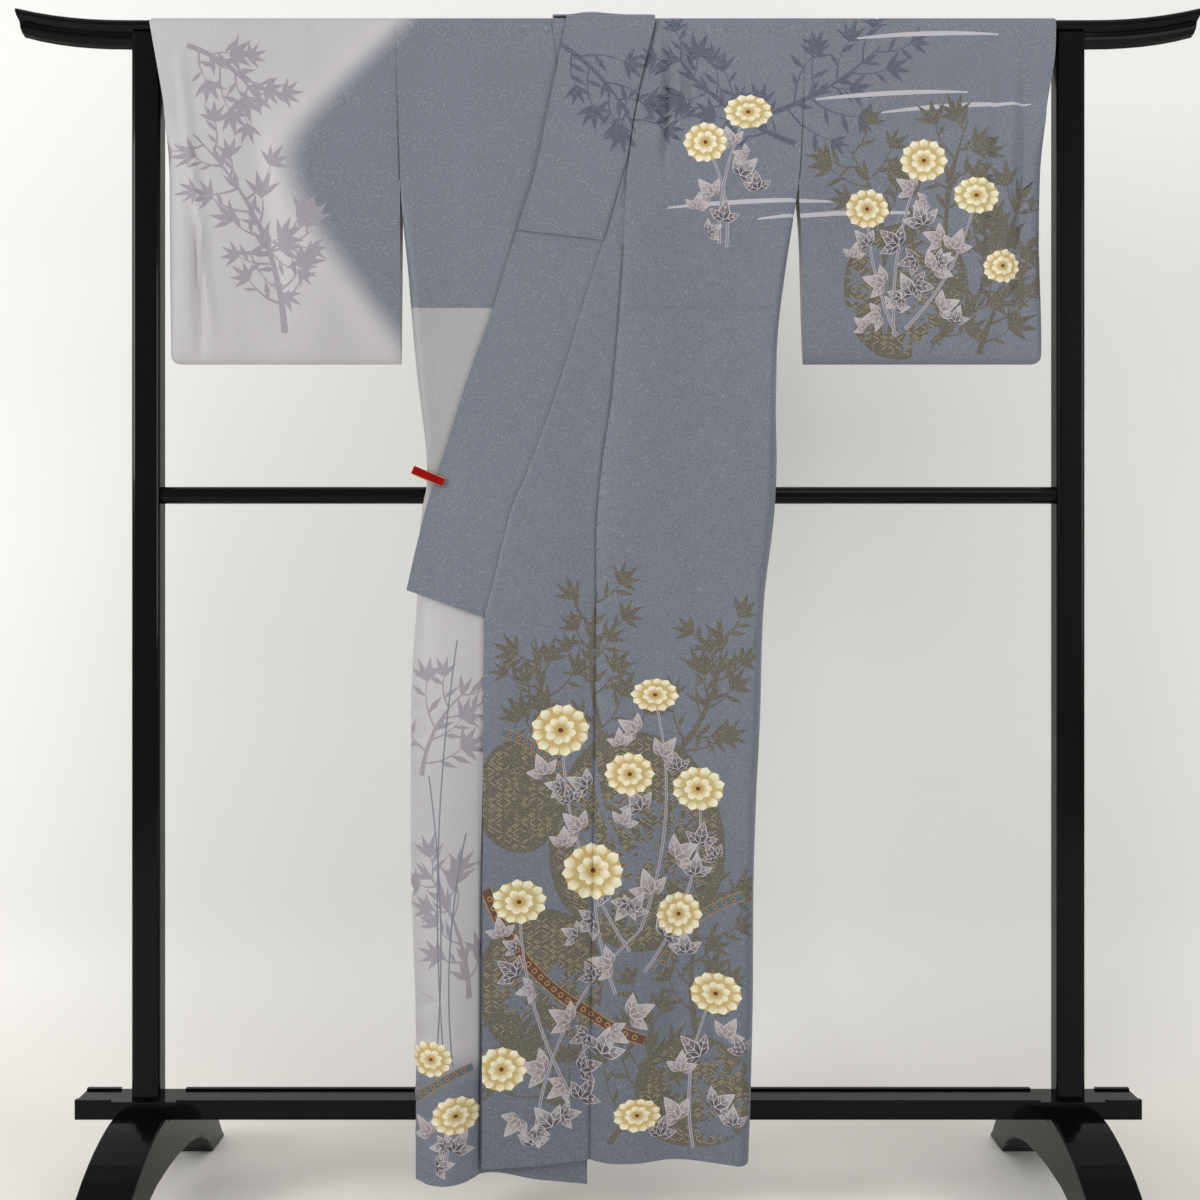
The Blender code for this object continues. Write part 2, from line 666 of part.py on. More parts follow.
def ribbon(name, point, depth, wall, lift, end, material):
    """A collar ribbon that starts on top of the rail and runs down the front."""
    heights = [height for height in (BEND_HEIGHT, *reversed(BODY_HEIGHTS)) if height >= end]

    def place(column, row):
        across = column / (COLLAR_COLUMNS - 1)
        if row < COLLAR_BEND_ROWS:
            x = point(BEND_HEIGHT, across)[0]
            turn = COLLAR_BEND_END * (1.0 - row / COLLAR_BEND_ROWS)
            return over_rail(x, turn, lift)
        x, z = point(heights[row - COLLAR_BEND_ROWS], across)
        return x, depth(x, z), z

    mesh = sheet(COLLAR_COLUMNS, COLLAR_BEND_ROWS + len(heights), place)
    return cloth(name, mesh, wall, material)


def collar_left(material):
    lift = LAYERS[-1].lift
    return ribbon("collar_left", left_ribbon, outer_front, COLLAR_WALL, lift,
                  COLLAR_END, material)


OVERCOLLAR_LIFT = (COLLAR_WALL + SILK_WALL) / 2 + SEAM_GAP


def overcollar_left(material):
    """Second layer over the upper stretch of the left collar."""
    def depth(x, z):
        return outer_front(x, z) - OVERCOLLAR_LIFT

    lift = LAYERS[-1].lift + OVERCOLLAR_LIFT
    return ribbon("overcollar_left", left_ribbon, depth, SILK_WALL, lift,
                  OVERCOLLAR_END, material)


def right_ribbon(z, across):
    seam = through(RIGHT_FRONT, z, "okumi_seam")
    seam += okumi_width(z) if z < KENSAKI else 0.0
    return seam + SEAM_GAP + COLLAR_WIDTH * across, z


def collar_right(material):
    """Inner collar ribbon, under the outer front."""
    return ribbon("collar_right", right_ribbon, inner_front, COLLAR_WALL, 0.0,
                  COLLAR_END, material)


COLLAR_BACK_COLUMNS = 13
COLLAR_BACK_ROWS = 9


def collar_back(material):
    """Back of the collar, from the neckline up and forwards over the rail."""
    def place(column, row):
        x = mix(NECK_RIGHT + COLLAR_BACK_END, NECK_LEFT - COLLAR_BACK_END,
                column / (COLLAR_BACK_COLUMNS - 1))
        step = row / (COLLAR_BACK_ROWS - 1) * (len(COLLAR_BACK) - 1)
        index = min(int(step), len(COLLAR_BACK) - 2)
        start, end, share = COLLAR_BACK[index], COLLAR_BACK[index + 1], step - index
        hump = through(COLLAR_HUMP, x, "share", "x")
        z = mix(mix(start.low, end.low, share), mix(start.high, end.high, share), hump)
        return x, mix(start.y, end.y, share), z

    mesh = sheet(COLLAR_BACK_COLUMNS, COLLAR_BACK_ROWS, place)
    return cloth("collar_back", mesh, COLLAR_WALL, material)


# ---------------------------------------------------------------- sleeves
def sleeve(name, edges, side_of, material):
    """One folded length: bottom seam, front, shoulder fold, back, bottom seam."""
    heights = SLEEVE_HEIGHTS + (BEND_HEIGHT,)
    level = len(heights)
    rows = 2 * level + BEND_STEPS - 1
    side = 1.0 if edges[0].outer > 0 else -1.0

    def outline(z):
        seam = side_of(z)[1] if z >= ARMHOLE else through(edges, z, "inner")
        outer = through(edges, z, "outer")
        rise = min((z - SLEEVE_BOTTOM) / SLEEVE_CORNER, 1.0)
        outer -= side * SLEEVE_CORNER * (1.0 - math.sqrt(1.0 - (1.0 - rise) ** 2))
        return seam + side * SEAM_GAP, outer

    def place(column, row):
        share = SLEEVE_SHARES[column]
        if level <= row < level + BEND_STEPS - 1:
            inner, outer = outline(BEND_HEIGHT)
            return over_rail(mix(inner, outer, share), (row - level + 1) / BEND_STEPS)
        on_back = row >= level
        z = heights[rows - 1 - row] if on_back else heights[row]
        inner, outer = outline(z)
        x = mix(inner, outer, share)
        by_cuff = smooth_step(0.0, BY_CUFF_SHARE, share)
        front = through(SLEEVE_LAYERS, z, "front")
        back = mix(through(SLEEVE_LAYERS, z, "back"),
                   through(SLEEVE_LAYERS, z, "back_at_cuff"), by_cuff)
        sewn = smooth_step(SLEEVE_SEWN_SHARE, 0.0, share) * smooth_step(SLEEVE_SEWN_START, ARMHOLE, z)
        front = mix(front, side_of(z)[2], sewn)
        back = mix(back, side_of(z)[3], sewn)
        near = 1.0 - min(abs(outer - x) / SLEEVE_EDGE_ROLL, 1.0)
        opened = smooth_step(CUFF_BOTTOM, CUFF_FULL, z)
        parted = mix(math.sqrt(max(1.0 - near * near, 0.0)), 1.0, opened)
        return x, mix((front + back) / 2, back if on_back else front, parted), z

    mesh = sheet(len(SLEEVE_SHARES), rows, place)
    bmesh.ops.remove_doubles(mesh, verts=mesh.verts[:], dist=MERGE_WITHIN)
    return cloth(name, mesh, SILK_WALL, material)


# ---------------------------------------------------------------- stand
def add_object(name, data, material):
    piece = bpy.data.objects.new(name, data)
    parts.objects.link(piece)
    data.materials.append(material)
    return piece


def box_mesh(size, middle):
    mesh = bmesh.new()
    lay = Matrix.Translation(middle) @ Matrix.Diagonal((*size, 1.0))
    bmesh.ops.create_cube(mesh, size=1.0, matrix=lay)
    return mesh


def add_cutter(name, size, place):
    """A box-shaped cutter of the given size with its middle at place."""
    mesh = box_mesh(size, place)
    data = bpy.data.meshes.new(name)
    mesh.to_mesh(data)
    mesh.free()
    cutter = bpy.data.objects.new(name, data)
    cutters.objects.link(cutter)
    cutter.hide_render = True
    cutter.display_type = "WIRE"
    return cutter


def cut(piece, cutter):
    carve = piece.modifiers.new("Cut", "BOOLEAN")
    carve.operation = "DIFFERENCE"
    carve.object = cutter


def finish_hard(name, mesh, material, angle=SHARP_OVER):
    bmesh.ops.recalc_face_normals(mesh, faces=mesh.faces[:])
    data = bpy.data.meshes.new(name)
    mesh.to_mesh(data)
    mesh.free()
    data.shade_smooth()
    data.set_sharp_from_angle(angle=math.radians(angle))
    return add_object(name, data, material)


def round_edges(mesh, width, sharper_than):
    """Round the outward edges that turn by more than the given angle."""
    bmesh.ops.recalc_face_normals(mesh, faces=mesh.faces[:])
    limit = math.radians(sharper_than)
    sharp = [edge for edge in mesh.edges if edge.is_convex and edge.calc_face_angle() > limit]
    bmesh.ops.bevel(mesh, geom=sharp, offset=width, offset_type="OFFSET", segments=2,
                    profile=0.5, affect="EDGES", material=-1)


def push_out(mesh, region, vec):
    """Extrude the faces by vec and give back the faces at the far end."""
    made = bmesh.ops.extrude_face_region(mesh, geom=region)["geom"]
    moved = [item for item in made if isinstance(item, bmesh.types.BMVert)]
    bmesh.ops.translate(mesh, verts=moved, vec=vec)
    return [item for item in made if isinstance(item, bmesh.types.BMFace)]


def rail_outline():
    """Section of the rail: a wide upper lobe, a groove and a narrower lower lobe."""
    upper_middle = (RAIL_TOP + RAIL_GROOVE) / 2
    lower_middle = (RAIL_BOTTOM + RAIL_GROOVE) / 2
    upper_rise = RAIL_TOP - upper_middle
    lower_drop = lower_middle - RAIL_BOTTOM
    points = []
    for step in range(RAIL_UPPER_STEPS + 1):
        angle = math.radians(mix(*RAIL_UPPER_ARC, step / RAIL_UPPER_STEPS))
        points.append((RAIL_UPPER_DEPTH / 2 * math.cos(angle),
                       upper_middle + upper_rise * math.sin(angle)))
    points.append((-RAIL_GROOVE_DEPTH / 2, RAIL_GROOVE))
    for step in range(RAIL_LOWER_STEPS + 1):
        angle = math.radians(mix(*RAIL_LOWER_ARC, step / RAIL_LOWER_STEPS))
        points.append((RAIL_LOWER_DEPTH / 2 * math.cos(angle),
                       lower_middle + lower_drop * math.sin(angle)))
    points.append((RAIL_GROOVE_DEPTH / 2, RAIL_GROOVE))
    return points


def rail(material):
    """Top rail, straight between the uprights and swept up at both ends."""
    outline = rail_outline()
    straight = [-RAIL_BEND, RAIL_BEND]
    ends = [mix(RAIL_BEND, RAIL_HALF_LENGTH, step / RAIL_SWEEP_STEPS)
            for step in range(1, RAIL_SWEEP_STEPS + 1)]
    stations = [-x for x in reversed(ends)] + straight + ends
    mesh = bmesh.new()
    first = [mesh.verts.new((stations[0], y, z)) for y, z in outline]
    region = [mesh.faces.new(first)]
    for start, end in zip(stations, stations[1:]):
        far_end = push_out(mesh, region, (end - start, 0.0, 0.0))
        if start != stations[0]:
            bmesh.ops.delete(mesh, geom=region, context="FACES_ONLY")
        region = far_end
    for vertex in mesh.verts:
        past = max(abs(vertex.co.x) - RAIL_BEND, 0.0) / (RAIL_HALF_LENGTH - RAIL_BEND)
        low = (RAIL_TOP - vertex.co.z) / (RAIL_TOP - RAIL_BOTTOM)
        vertex.co.z += RAIL_TIP_LIFT * past ** RAIL_LIFT_POWER
        vertex.co.x -= math.copysign(RAIL_TIP_SLANT * low * past ** RAIL_SLANT_POWER, vertex.co.x)
    round_edges(mesh, RAIL_ROUND, RAIL_ROUNDED_OVER)
    return finish_hard("rail", mesh, material, RAIL_SHARP_OVER)


def upright(name, x, material):
    """Upright with a fork at its top that takes the rail's lower lobe."""
    foot_of_it = BEAM_TOP - BEAM_LIP_HEIGHT + SEAM_GAP
    mesh = box_mesh((UPRIGHT_WIDTH, UPRIGHT_DEPTH, UPRIGHT_TOP - foot_of_it),
                    (x, 0.0, (UPRIGHT_TOP + foot_of_it) / 2))
    tall = [edge for edge in mesh.edges
            if abs(edge.verts[0].co.z - edge.verts[1].co.z) > UPRIGHT_DEPTH]
    bmesh.ops.bevel(mesh, geom=tall, offset=UPRIGHT_EDGE, offset_type="OFFSET", segments=4,
                    profile=0.5, affect="EDGES", material=-1)
    piece = finish_hard(name, mesh, material)
    fork_width = RAIL_LOWER_DEPTH + 2 * SEAM_GAP
    seat = RAIL_BOTTOM - SEAM_GAP
    top = UPRIGHT_TOP + CUTTER_ABOVE
    cut(piece, add_cutter(name + "_fork", (UPRIGHT_WIDTH * 2, fork_width, top - seat),
                          (x, 0.0, (top + seat) / 2)))
    return piece


def crossbar(material):
    length = 2 * (UPRIGHT_X - UPRIGHT_WIDTH / 2 - SEAM_GAP)
    mesh = bmesh.new()
    lay = Matrix.Translation((0.0, 0.0, CROSSBAR_HEIGHT)) @ Matrix.Rotation(math.pi / 2, 4, "Y")
    bmesh.ops.create_cone(mesh, cap_ends=True, segments=24, radius1=CROSSBAR_DIAMETER / 2,
                          radius2=CROSSBAR_DIAMETER / 2, depth=length, matrix=lay)
    return finish_hard("crossbar", mesh, material)


def beam(material):
    """Bottom beam whose top is a shallow tray between two lips."""
    mesh = box_mesh((2 * BEAM_HALF_LENGTH, BEAM_DEPTH, BEAM_TOP - BEAM_BOTTOM),
                    (0.0, 0.0, (BEAM_TOP + BEAM_BOTTOM) / 2))
    piece = finish_hard("beam", mesh, material)
    floor = BEAM_TOP - BEAM_LIP_HEIGHT
    middle = floor + CUTTER_HEIGHT / 2
    tray = (BEAM_HALF_LENGTH * 3, BEAM_DEPTH - 2 * BEAM_LIP_WIDTH, CUTTER_HEIGHT)
    cut(piece, add_cutter("beam_tray", tray, (0.0, 0.0, middle)))
    for side in (-1, 1):
        gap = (BEAM_LIP_BREAK * 2, BEAM_DEPTH * 2, CUTTER_HEIGHT)
        cut(piece, add_cutter("beam_break", gap, (side * UPRIGHT_X, 0.0, middle)))
    return piece


def foot(name, x, material):
    """Arched foot; its outline is turned out of two tables and given its width."""
    outline = []
    for start, end in zip(FOOT_TOP, FOOT_TOP[1:]):
        for step in range(FOOT_CURVE_STEPS):
            y = mix(start.y, end.y, step / FOOT_CURVE_STEPS)
            outline.append((y, through(FOOT_TOP, y, "z", "y")))
    toe = FOOT_TOP[-1]
    outline.append((toe.y, toe.z))
    outline.append((toe.y - FOOT_PAD_EDGE, 0.0))
    outline.append((FOOT_PAD_START + FOOT_PAD_EDGE, 0.0))
    outline.extend((point.y, point.z) for point in FOOT_UNDER)
    seat = BEAM_BOTTOM - SEAM_GAP
    far_side = [(-y, z) for y, z in reversed(outline)]
    loop = [(FOOT_NOTCH, seat)] + outline + far_side + [(-FOOT_NOTCH, seat)]
    mesh = bmesh.new()
    face = mesh.faces.new([mesh.verts.new((x - FOOT_WIDTH / 2, y, z)) for y, z in loop])
    push_out(mesh, [face], (FOOT_WIDTH, 0.0, 0.0))
    round_edges(mesh, FOOT_ROUND, FOOT_ROUNDED_OVER)
    return finish_hard(name, mesh, material, FOOT_SHARP_OVER)


# ---------------------------------------------------------------- clip
def clip(material):
    """Sprung bar clip that holds the collar's edge to the side of the body."""
    collar_face = right_side(CLIP_CENTRE[1])[2] - through(LAYERS, CLIP_CENTRE[1], "lift")
    front = collar_face - COLLAR_WALL / 2 - CLIP_SEAT
    back = front + CLIP_MOUTH
    half = CLIP_LENGTH / 2
    tip = CLIP_CHAMFER
    loop = [(-half, front - CLIP_FRONT_JAW + tip), (-half + tip, front - CLIP_FRONT_JAW),
            (half - tip, front - CLIP_FRONT_JAW), (half, front - CLIP_FRONT_JAW + tip),
            (half, front - tip), (half - tip, front),
            (-half + CLIP_HINGE, front), (-half + CLIP_HINGE, back),
            (half - 2 * tip, back), (half - tip, back + tip),
            (half - tip, back + CLIP_REAR_JAW - tip), (half - 2 * tip, back + CLIP_REAR_JAW),
            (-half + tip, back + CLIP_REAR_JAW), (-half, back + CLIP_REAR_JAW - tip)]
    mesh = bmesh.new()
    face = mesh.faces.new([mesh.verts.new((along, deep, -CLIP_WIDTH / 2)) for along, deep in loop])
    push_out(mesh, [face], (0.0, 0.0, CLIP_WIDTH))
    round_edges(mesh, CLIP_ROUND, CLIP_ROUNDED_OVER)
    piece = finish_hard("clip", mesh, material)
    piece.location = (CLIP_CENTRE[0], 0.0, CLIP_CENTRE[1])
    piece.rotation_euler = (0.0, -CLIP_SLOPE, 0.0)
    return piece


# ---------------------------------------------------------------- materials and build
def finish(name, colour, roughness, metallic=0.0):
    material = bpy.data.materials.new(name)
    material.use_nodes = True
    shader = material.node_tree.nodes["Principled BSDF"]
    shader.inputs["Base Color"].default_value = (*colour, 1.0)
    shader.inputs["Roughness"].default_value = roughness
    shader.inputs["Metallic"].default_value = metallic
    material.diffuse_color = (*colour, 1.0)
    return material


def new_collection(name):
    collection = bpy.data.collections.new(name)
    bpy.context.scene.collection.children.link(collection)
    return collection


def build():
    blue = finish("blue_grey_silk", (0.195, 0.212, 0.260), 0.75)
    pale = finish("pale_grey_silk", (0.430, 0.425, 0.450), 0.75)
    lacquer = finish("black_lacquer", (0.006, 0.006, 0.007), 0.12)
    enamel = finish("red_enamel", (0.420, 0.010, 0.015), 0.25)
    rail(lacquer)
    upright("upright_right", -UPRIGHT_X, lacquer)
    upright("upright_left", UPRIGHT_X, lacquer)
    crossbar(lacquer)
    beam(lacquer)
    foot("foot_right", -UPRIGHT_X, lacquer)
    foot("foot_left", UPRIGHT_X, lacquer)
    body_half("body_right", -1, right_front_run, right_side, RIGHT_FRONT, NECK_RIGHT, pale)
    body_half("body_left", 1, left_front_run, left_side, LEFT_FRONT, NECK_LEFT, blue)
    okumi_right(blue)
    okumi_left(blue)
    sleeve("sleeve_right", RIGHT_SLEEVE, right_side, pale)
    sleeve("sleeve_left", LEFT_SLEEVE, left_side, blue)
    collar_right(blue)
    collar_left(blue)
    collar_back(blue)
    overcollar_left(blue)
    clip(enamel)


for stale in list(bpy.data.objects):
    bpy.data.objects.remove(stale, do_unlink=True)
parts = new_collection("kimono_on_stand")
cutters = new_collection("cutters")
build()
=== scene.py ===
import math
import random

import bmesh
import bpy
from mathutils import Matrix, Vector
from mathutils.geometry import delaunay_2d_cdt


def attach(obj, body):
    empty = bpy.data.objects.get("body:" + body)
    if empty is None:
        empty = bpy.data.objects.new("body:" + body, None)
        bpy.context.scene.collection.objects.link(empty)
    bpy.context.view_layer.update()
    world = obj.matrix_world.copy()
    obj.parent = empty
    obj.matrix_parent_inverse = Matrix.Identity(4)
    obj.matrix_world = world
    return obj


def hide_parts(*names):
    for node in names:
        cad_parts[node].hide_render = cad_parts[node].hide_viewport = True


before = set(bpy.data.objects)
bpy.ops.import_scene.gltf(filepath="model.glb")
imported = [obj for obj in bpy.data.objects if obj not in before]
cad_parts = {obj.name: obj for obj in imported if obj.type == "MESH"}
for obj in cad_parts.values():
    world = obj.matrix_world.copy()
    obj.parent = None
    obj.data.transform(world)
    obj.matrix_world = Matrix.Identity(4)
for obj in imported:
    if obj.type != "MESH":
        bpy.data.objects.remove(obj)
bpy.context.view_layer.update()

print("stage 1: frame loaded")

# Left and right are the wearer's, so the left half of the garment is at +X.
cloth = {
    "silkWall": 0.0016, "collarWall": 0.0022, "seamGap": 0.0003, "hem": 0.0925, "armhole": 1.492,
    "neckline": 1.7085, "neckRight": -0.082, "neckLeft": 0.068, "kensaki": 1.53, "collarEnd": 0.863,
    "collarEndFree": 0.901, "overcollarEnd": 1.405, "collarWidth": 0.116, "okumiWidth": 0.15,
    "okumiTop": 1.512, "centreBack": -0.007, "tuck": 1.308,
}
rail = {"top": 1.733, "depth": 0.036, "clearance": 0.0015, "bend": 1.7228}
bendDepth = rail["depth"] / 2 + rail["clearance"]
bendRise = rail["top"] + rail["clearance"] - rail["bend"]
bendLength = math.pi * (bendDepth + bendRise) / 2


def metres(*tenths):
    # lengths written in tenths of a millimetre
    return tuple(value / 10000 for value in tenths)


# Columns over the height of the garment, hem to shoulder.
layers = {
    "height": metres(500, 1700, 3000, 5000, 7000, 8600, 10400, 12000, 13600, 14920, 16000, 17228),
    "inner": metres(-640, -625, -600, -560, -515, -470, -402, -332, -268, -228, -207) + (-bendDepth,),
    "lift": metres(90, 85, 80, 70, 62, 55, 50, 50, 50, 48, 44, 26),
    "wave": (1.0, 0.97, 0.91, 0.78, 0.65, 0.53, 0.38, 0.25, 0.15, 0.08, 0.03, 0.0),
    "back": metres(-300, -292, -270, -235, -200, -172, -142, -62, 18, 84, 139) + (bendDepth,),
}
waves = {
    "place": (-1.0, -0.55, -0.2, 0.0, 0.13, 0.27, 0.54, 0.8, 1.0),
    "depth": metres(-220, -110, 40, 110, -10, -20, 160, 0, -180),
}
leftFront = {
    "height": metres(500, 1760, 3000, 5100, 7150, 9000, 10020, 10670, 11770, 12760, 13600, 14060, 15110,
        16000, 17228),
    "okumiSeam": metres(-275, -260, -250, -225, -200, -185, -175, -120, 35, 125, 190, 215, 262, 388, 680),
    "turn": metres(1810, 1840, 1870, 1900, 1990, 2080, 2145, 2195, 2280, 2330, 2435, 2500, 2640, 2680, 2745),
    "outer": metres(1965, 2010, 2045, 2070, 2163, 2240, 2370, 2414, 2415, 2450, 2555, 2620, 2763, 2805, 2869),
    "seamAngle": (60.0, 58.0, 55.0, 50.0, 20.0, 14.0, 12.0, 14.0, 40.0, 75.0) + (90.0,) * 5,
}
leftCollarSeam = {
    "height": metres(8630, 8980, 9720, 10220, 10590, 11190, 12160, 13180, 14050, 14800, 15300),
    "x": metres(-1770, -1672, -1500, -1370, -1210, -980, -652, -354, -75, 140, 284),
}
leftCollarFree = {
    "height": metres(9010, 9680, 10330, 10990, 11980, 13090, 14350, 15030, 15870, 17228),
    "x": metres(-2860, -2718, -2559, -2342, -2030, -1650, -1264, -1055, -886, -610),
}
rightFront = {
    "height": metres(500, 1700, 3000, 5000, 6600, 7930, 8600, 9450, 10050, 10300, 10450, 10630, 10820, 11050,
        11500, 12000, 12800, 13600, 14920, 15300, 16000, 17228),
    "okumiSeam": metres(-1800, -1800, -1795, -1785, -1740, -1660, -1600, -1300, -1030, -940, -900, -860, -815,
        -770, -700, -630, -530, -480, -520, -550, -630, -820),
    "valley": metres(-1800, -1800, -1800, -1810, -1830, -1860, -1880, -1920, -1960, -1980, -1990,
        *[-2000] * 11),
    "turn": metres(-2310, -2320, -2330, -2350, -2360, -2360, -2370, -2405, -2470, -2505, -2520, -2525, -2520,
        -2525, -2570, -2625, -2705, -2775, -2885, -2900, -2925, -2960),
    "outer": metres(-2725, -2728, -2735, -2802, -2809, -2798, -2755, -2735, -2680, -2640, -2606, -2596, -2596,
        -2612, -2672, -2742, -2825, -2895, -3006, -3020, -3045, -3080),
    "belly": metres(335, 305, 270, 200, 147, 90, 50, 10, -30, -50, -60, -60, -60, -45, -15, *[0] * 7),
    "back": metres(-302, -294, -272, -238, -210, -190, -182, -200, -285, -345, -356, -360, -356, -325, -200,
        -95, -28, 18, 84, 103, 139) + (bendDepth,),
    "seamAngle": (178.0, 177.0, 175.0, 165.0, 155.0, 145.0, 132.0, 112.0, 99.0, 92.0) + (90.0,) * 12,
}
rightHem = {
    "x": metres(-2700, -2300, -1950, -1790, -970, -320),
    "height": metres(800, 785, 800, 840, 690, 550),
}
sideSlit = {"height": metres(13600, 14000, 14400, 14920), "closed": (1.0, 0.72, 0.32, 0.0)}
okumiTaper = {
    "height": metres(8630, 9500, 10600, 12160, 13180, 14050, 14800, 15300),
    "width": metres(1500, 1340, 1080, 720, 510, 290, 110, 0),
}
backFolds = (  # x at the hem and at the top, half the width, the depth, and the height of the top
    (-0.145, -0.18, 0.05, 0.017, 1.24),
    (0.008, 0.02, 0.052, 0.016, 1.12),
    (0.128, 0.16, 0.044, 0.0185, 1.3),
)
hemDropTop = 0.6  # above this height the right front hangs level
rollUnderLeft = (0.8, 0.9)  # from here up the left front lies over the right front's roll
creaseFade = 0.6  # how late a crease fades towards its ends
sleeveLayers = {
    "height": metres(12315, 12360, 12450, 12650, 13200, 14000, 14920, 16000, 17228),
    "front": metres(-30, -62, -86, -118, -172, -214, -240, -214) + (-bendDepth,),
    "back": metres(-30, -2, 14, 30, 52, 66, 84, 139) + (bendDepth,),
    "backAtCuff": metres(-30, 2, 24, 52, 92, 140, 174, 192) + (bendDepth,),
}
rightSleeve = {
    "height": metres(12315, 12560, 14200, 14920, 15300, 15960, 16600, 17228),
    "inner": metres(-3018, -3017, -3010, -3007, -3020, -3040, -3060, -3080),
    "outer": metres(-6373, -6375, -6385, -6390, -6395, -6425, -6530, -6644),
}
leftSleeve = {
    "height": metres(12315, 12580, 14224, 14920, 15110, 15960, 16846, 17228),
    "inner": metres(2839, 2830, 2785, 2748, 2763, 2804, 2847, 2869),
    "outer": metres(6314, 6314, 6274, 6285, 6292, 6340, 6475, 6485),
}
sleeveShape = {"bottom": 1.2315, "cuffBottom": 1.505, "corner": 0.013, "edgeRoll": 0.028}


def through(table, at, column, key="height"):
    # a smooth curve through one column of a table
    places, values = table[key], table[column]
    at = min(max(at, places[0]), places[-1])
    last = len(places) - 2
    index = 0
    while index < last and at > places[index + 1]:
        index += 1
    step = places[index + 1] - places[index]
    slope = (values[index + 1] - values[index]) / step
    before = after = slope
    if index > 0:
        span = places[index] - places[index - 1]
        before = (slope * span + (values[index] - values[index - 1]) / span * step) / (span + step)
    if index < last:
        span = places[index + 2] - places[index + 1]
        after = (slope * span + (values[index + 2] - values[index + 1]) / span * step) / (span + step)
    t = (at - places[index]) / step
    rise = step * ((t ** 3 - 2 * t ** 2 + t) * before + (t ** 3 - t ** 2) * after)
    return (values[index] * (2 * t ** 3 - 3 * t ** 2 + 1)
            + values[index + 1] * (3 * t ** 2 - 2 * t ** 3) + rise)


def mix(start, end, share):
    return start + (end - start) * share


def smoothStep(low, high, at):
    share = min(max((at - low) / (high - low), 0.0), 1.0)
    return share * share * (3 - 2 * share)


# Soft creases that fade at both ends: x and height of the foot and of the head,
# half the width, and the depth.
creases = {
    "front": (
        (0.15, 0.1, 0.12, 0.72, 0.02, 0.0022),
        (0.06, 0.1, 0.085, 0.55, 0.024, -0.002),
        (-0.1, 0.1, -0.085, 0.6, 0.022, 0.0018),
        (0.17, 0.8, 0.215, 1.42, 0.016, 0.0016),
        (0.105, 1.05, 0.16, 1.6, 0.022, -0.0014),
        (0.07, 1.52, 0.074, 1.7228, 0.01, -0.005),
        (0.08, 1.48, 0.089, 1.706, 0.009, 0.0056),
        (0.098, 1.54, 0.104, 1.7228, 0.01, -0.0052),
        (0.122, 1.56, 0.119, 1.706, 0.009, 0.0046),
        (0.142, 1.62, 0.133, 1.7228, 0.01, -0.003),
        (-0.235, 1.3, -0.215, 1.66, 0.02, 0.0016),
        (-0.12, 1.2, -0.16, 1.62, 0.024, -0.0012),
    ),
    "sleeve": (
        (-0.592, 1.235, -0.598, 1.48, 0.01, 0.0066),
        (-0.572, 1.26, -0.622, 1.69, 0.012, -0.0058),
        (-0.47, 1.26, -0.52, 1.62, 0.03, 0.0042),
        (0.33, 1.25, 0.325, 1.6, 0.014, -0.0018),
        (0.54, 1.26, 0.566, 1.67, 0.011, 0.005),
        (0.586, 1.24, 0.606, 1.69, 0.01, 0.0066),
        (0.562, 1.26, 0.588, 1.69, 0.012, -0.005),
    ),
    "back": (
        (-0.05, 0.15, -0.09, 1.1, 0.026, 0.002),
        (0.07, 0.15, 0.095, 0.95, 0.024, -0.0018),
        (-0.19, 0.9, -0.23, 1.55, 0.02, -0.0016),
        (0.17, 0.95, 0.215, 1.5, 0.022, 0.0016),
    ),
}


def trough(away):
    # the section of a soft fold: 1 in its middle, 0 at its edges
    return math.cos(math.pi / 2 * away) ** 2 if away < 1.0 else 0.0


def creaseDepth(name, x, z):
    depth = 0.0
    for footX, footZ, headX, headZ, halfWidth, deep in creases[name]:
        along = (z - footZ) / (headZ - footZ)
        if 0.0 < along < 1.0:
            fade = math.sin(math.pi * along) ** creaseFade
            depth += deep * fade * trough(abs(x - mix(footX, headX, along)) / halfWidth)
    return depth


def waveDepth(x, z):
    seam = through(leftFront, z, "okumiSeam")
    span = cloth["okumiWidth"] if x < seam else through(leftFront, z, "outer") - seam
    place = (x - seam) / span
    return through(waves, place, "depth", "place") * through(layers, z, "wave")


def innerFront(x, z):
    return through(layers, z, "inner") + waveDepth(x, z) + creaseDepth("front", x, z)


def rollDepth(x, z):
    valley, turn = through(rightFront, z, "valley"), through(rightFront, z, "turn")
    if x >= valley:
        return 0.0
    share = max((x - turn) / (valley - turn), 0.0)
    return -through(rightFront, z, "belly") * math.cos(math.pi / 2 * share)


def outerFront(x, z, onRail=0.0):
    # near the rail the lift eases off by onRail
    lift = through(layers, z, "lift") - onRail * smoothStep(layers["height"][-2], rail["bend"], z)
    return innerFront(x, z) + rollDepth(x, z) * smoothStep(*rollUnderLeft, z) - lift


def backDepth(x, z):
    depth = through(layers, z, "back") + creaseDepth("back", x, z)
    for hemX, topX, halfWidth, deep, top in backFolds:
        centre = mix(hemX, topX, (z - cloth["hem"]) / (top - cloth["hem"]))
        depth -= deep * smoothStep(top, cloth["hem"], z) * trough(abs(x - centre) / halfWidth)
    return depth


def hemDrop(x, z):
    share = 1.0 - smoothStep(cloth["hem"], hemDropTop, z)
    return (through(rightHem, x, "height", "x") - cloth["hem"]) * share


def overRail(x, run, lift=0.0):
    # a point of the cloth that has run so far up the front and on over the rail
    angle = math.pi * ((run - rail["bend"]) / bendLength)
    return Vector((x, -(bendDepth + lift) * math.cos(angle),
                   rail["bend"] + (bendRise + lift) * math.sin(angle)))


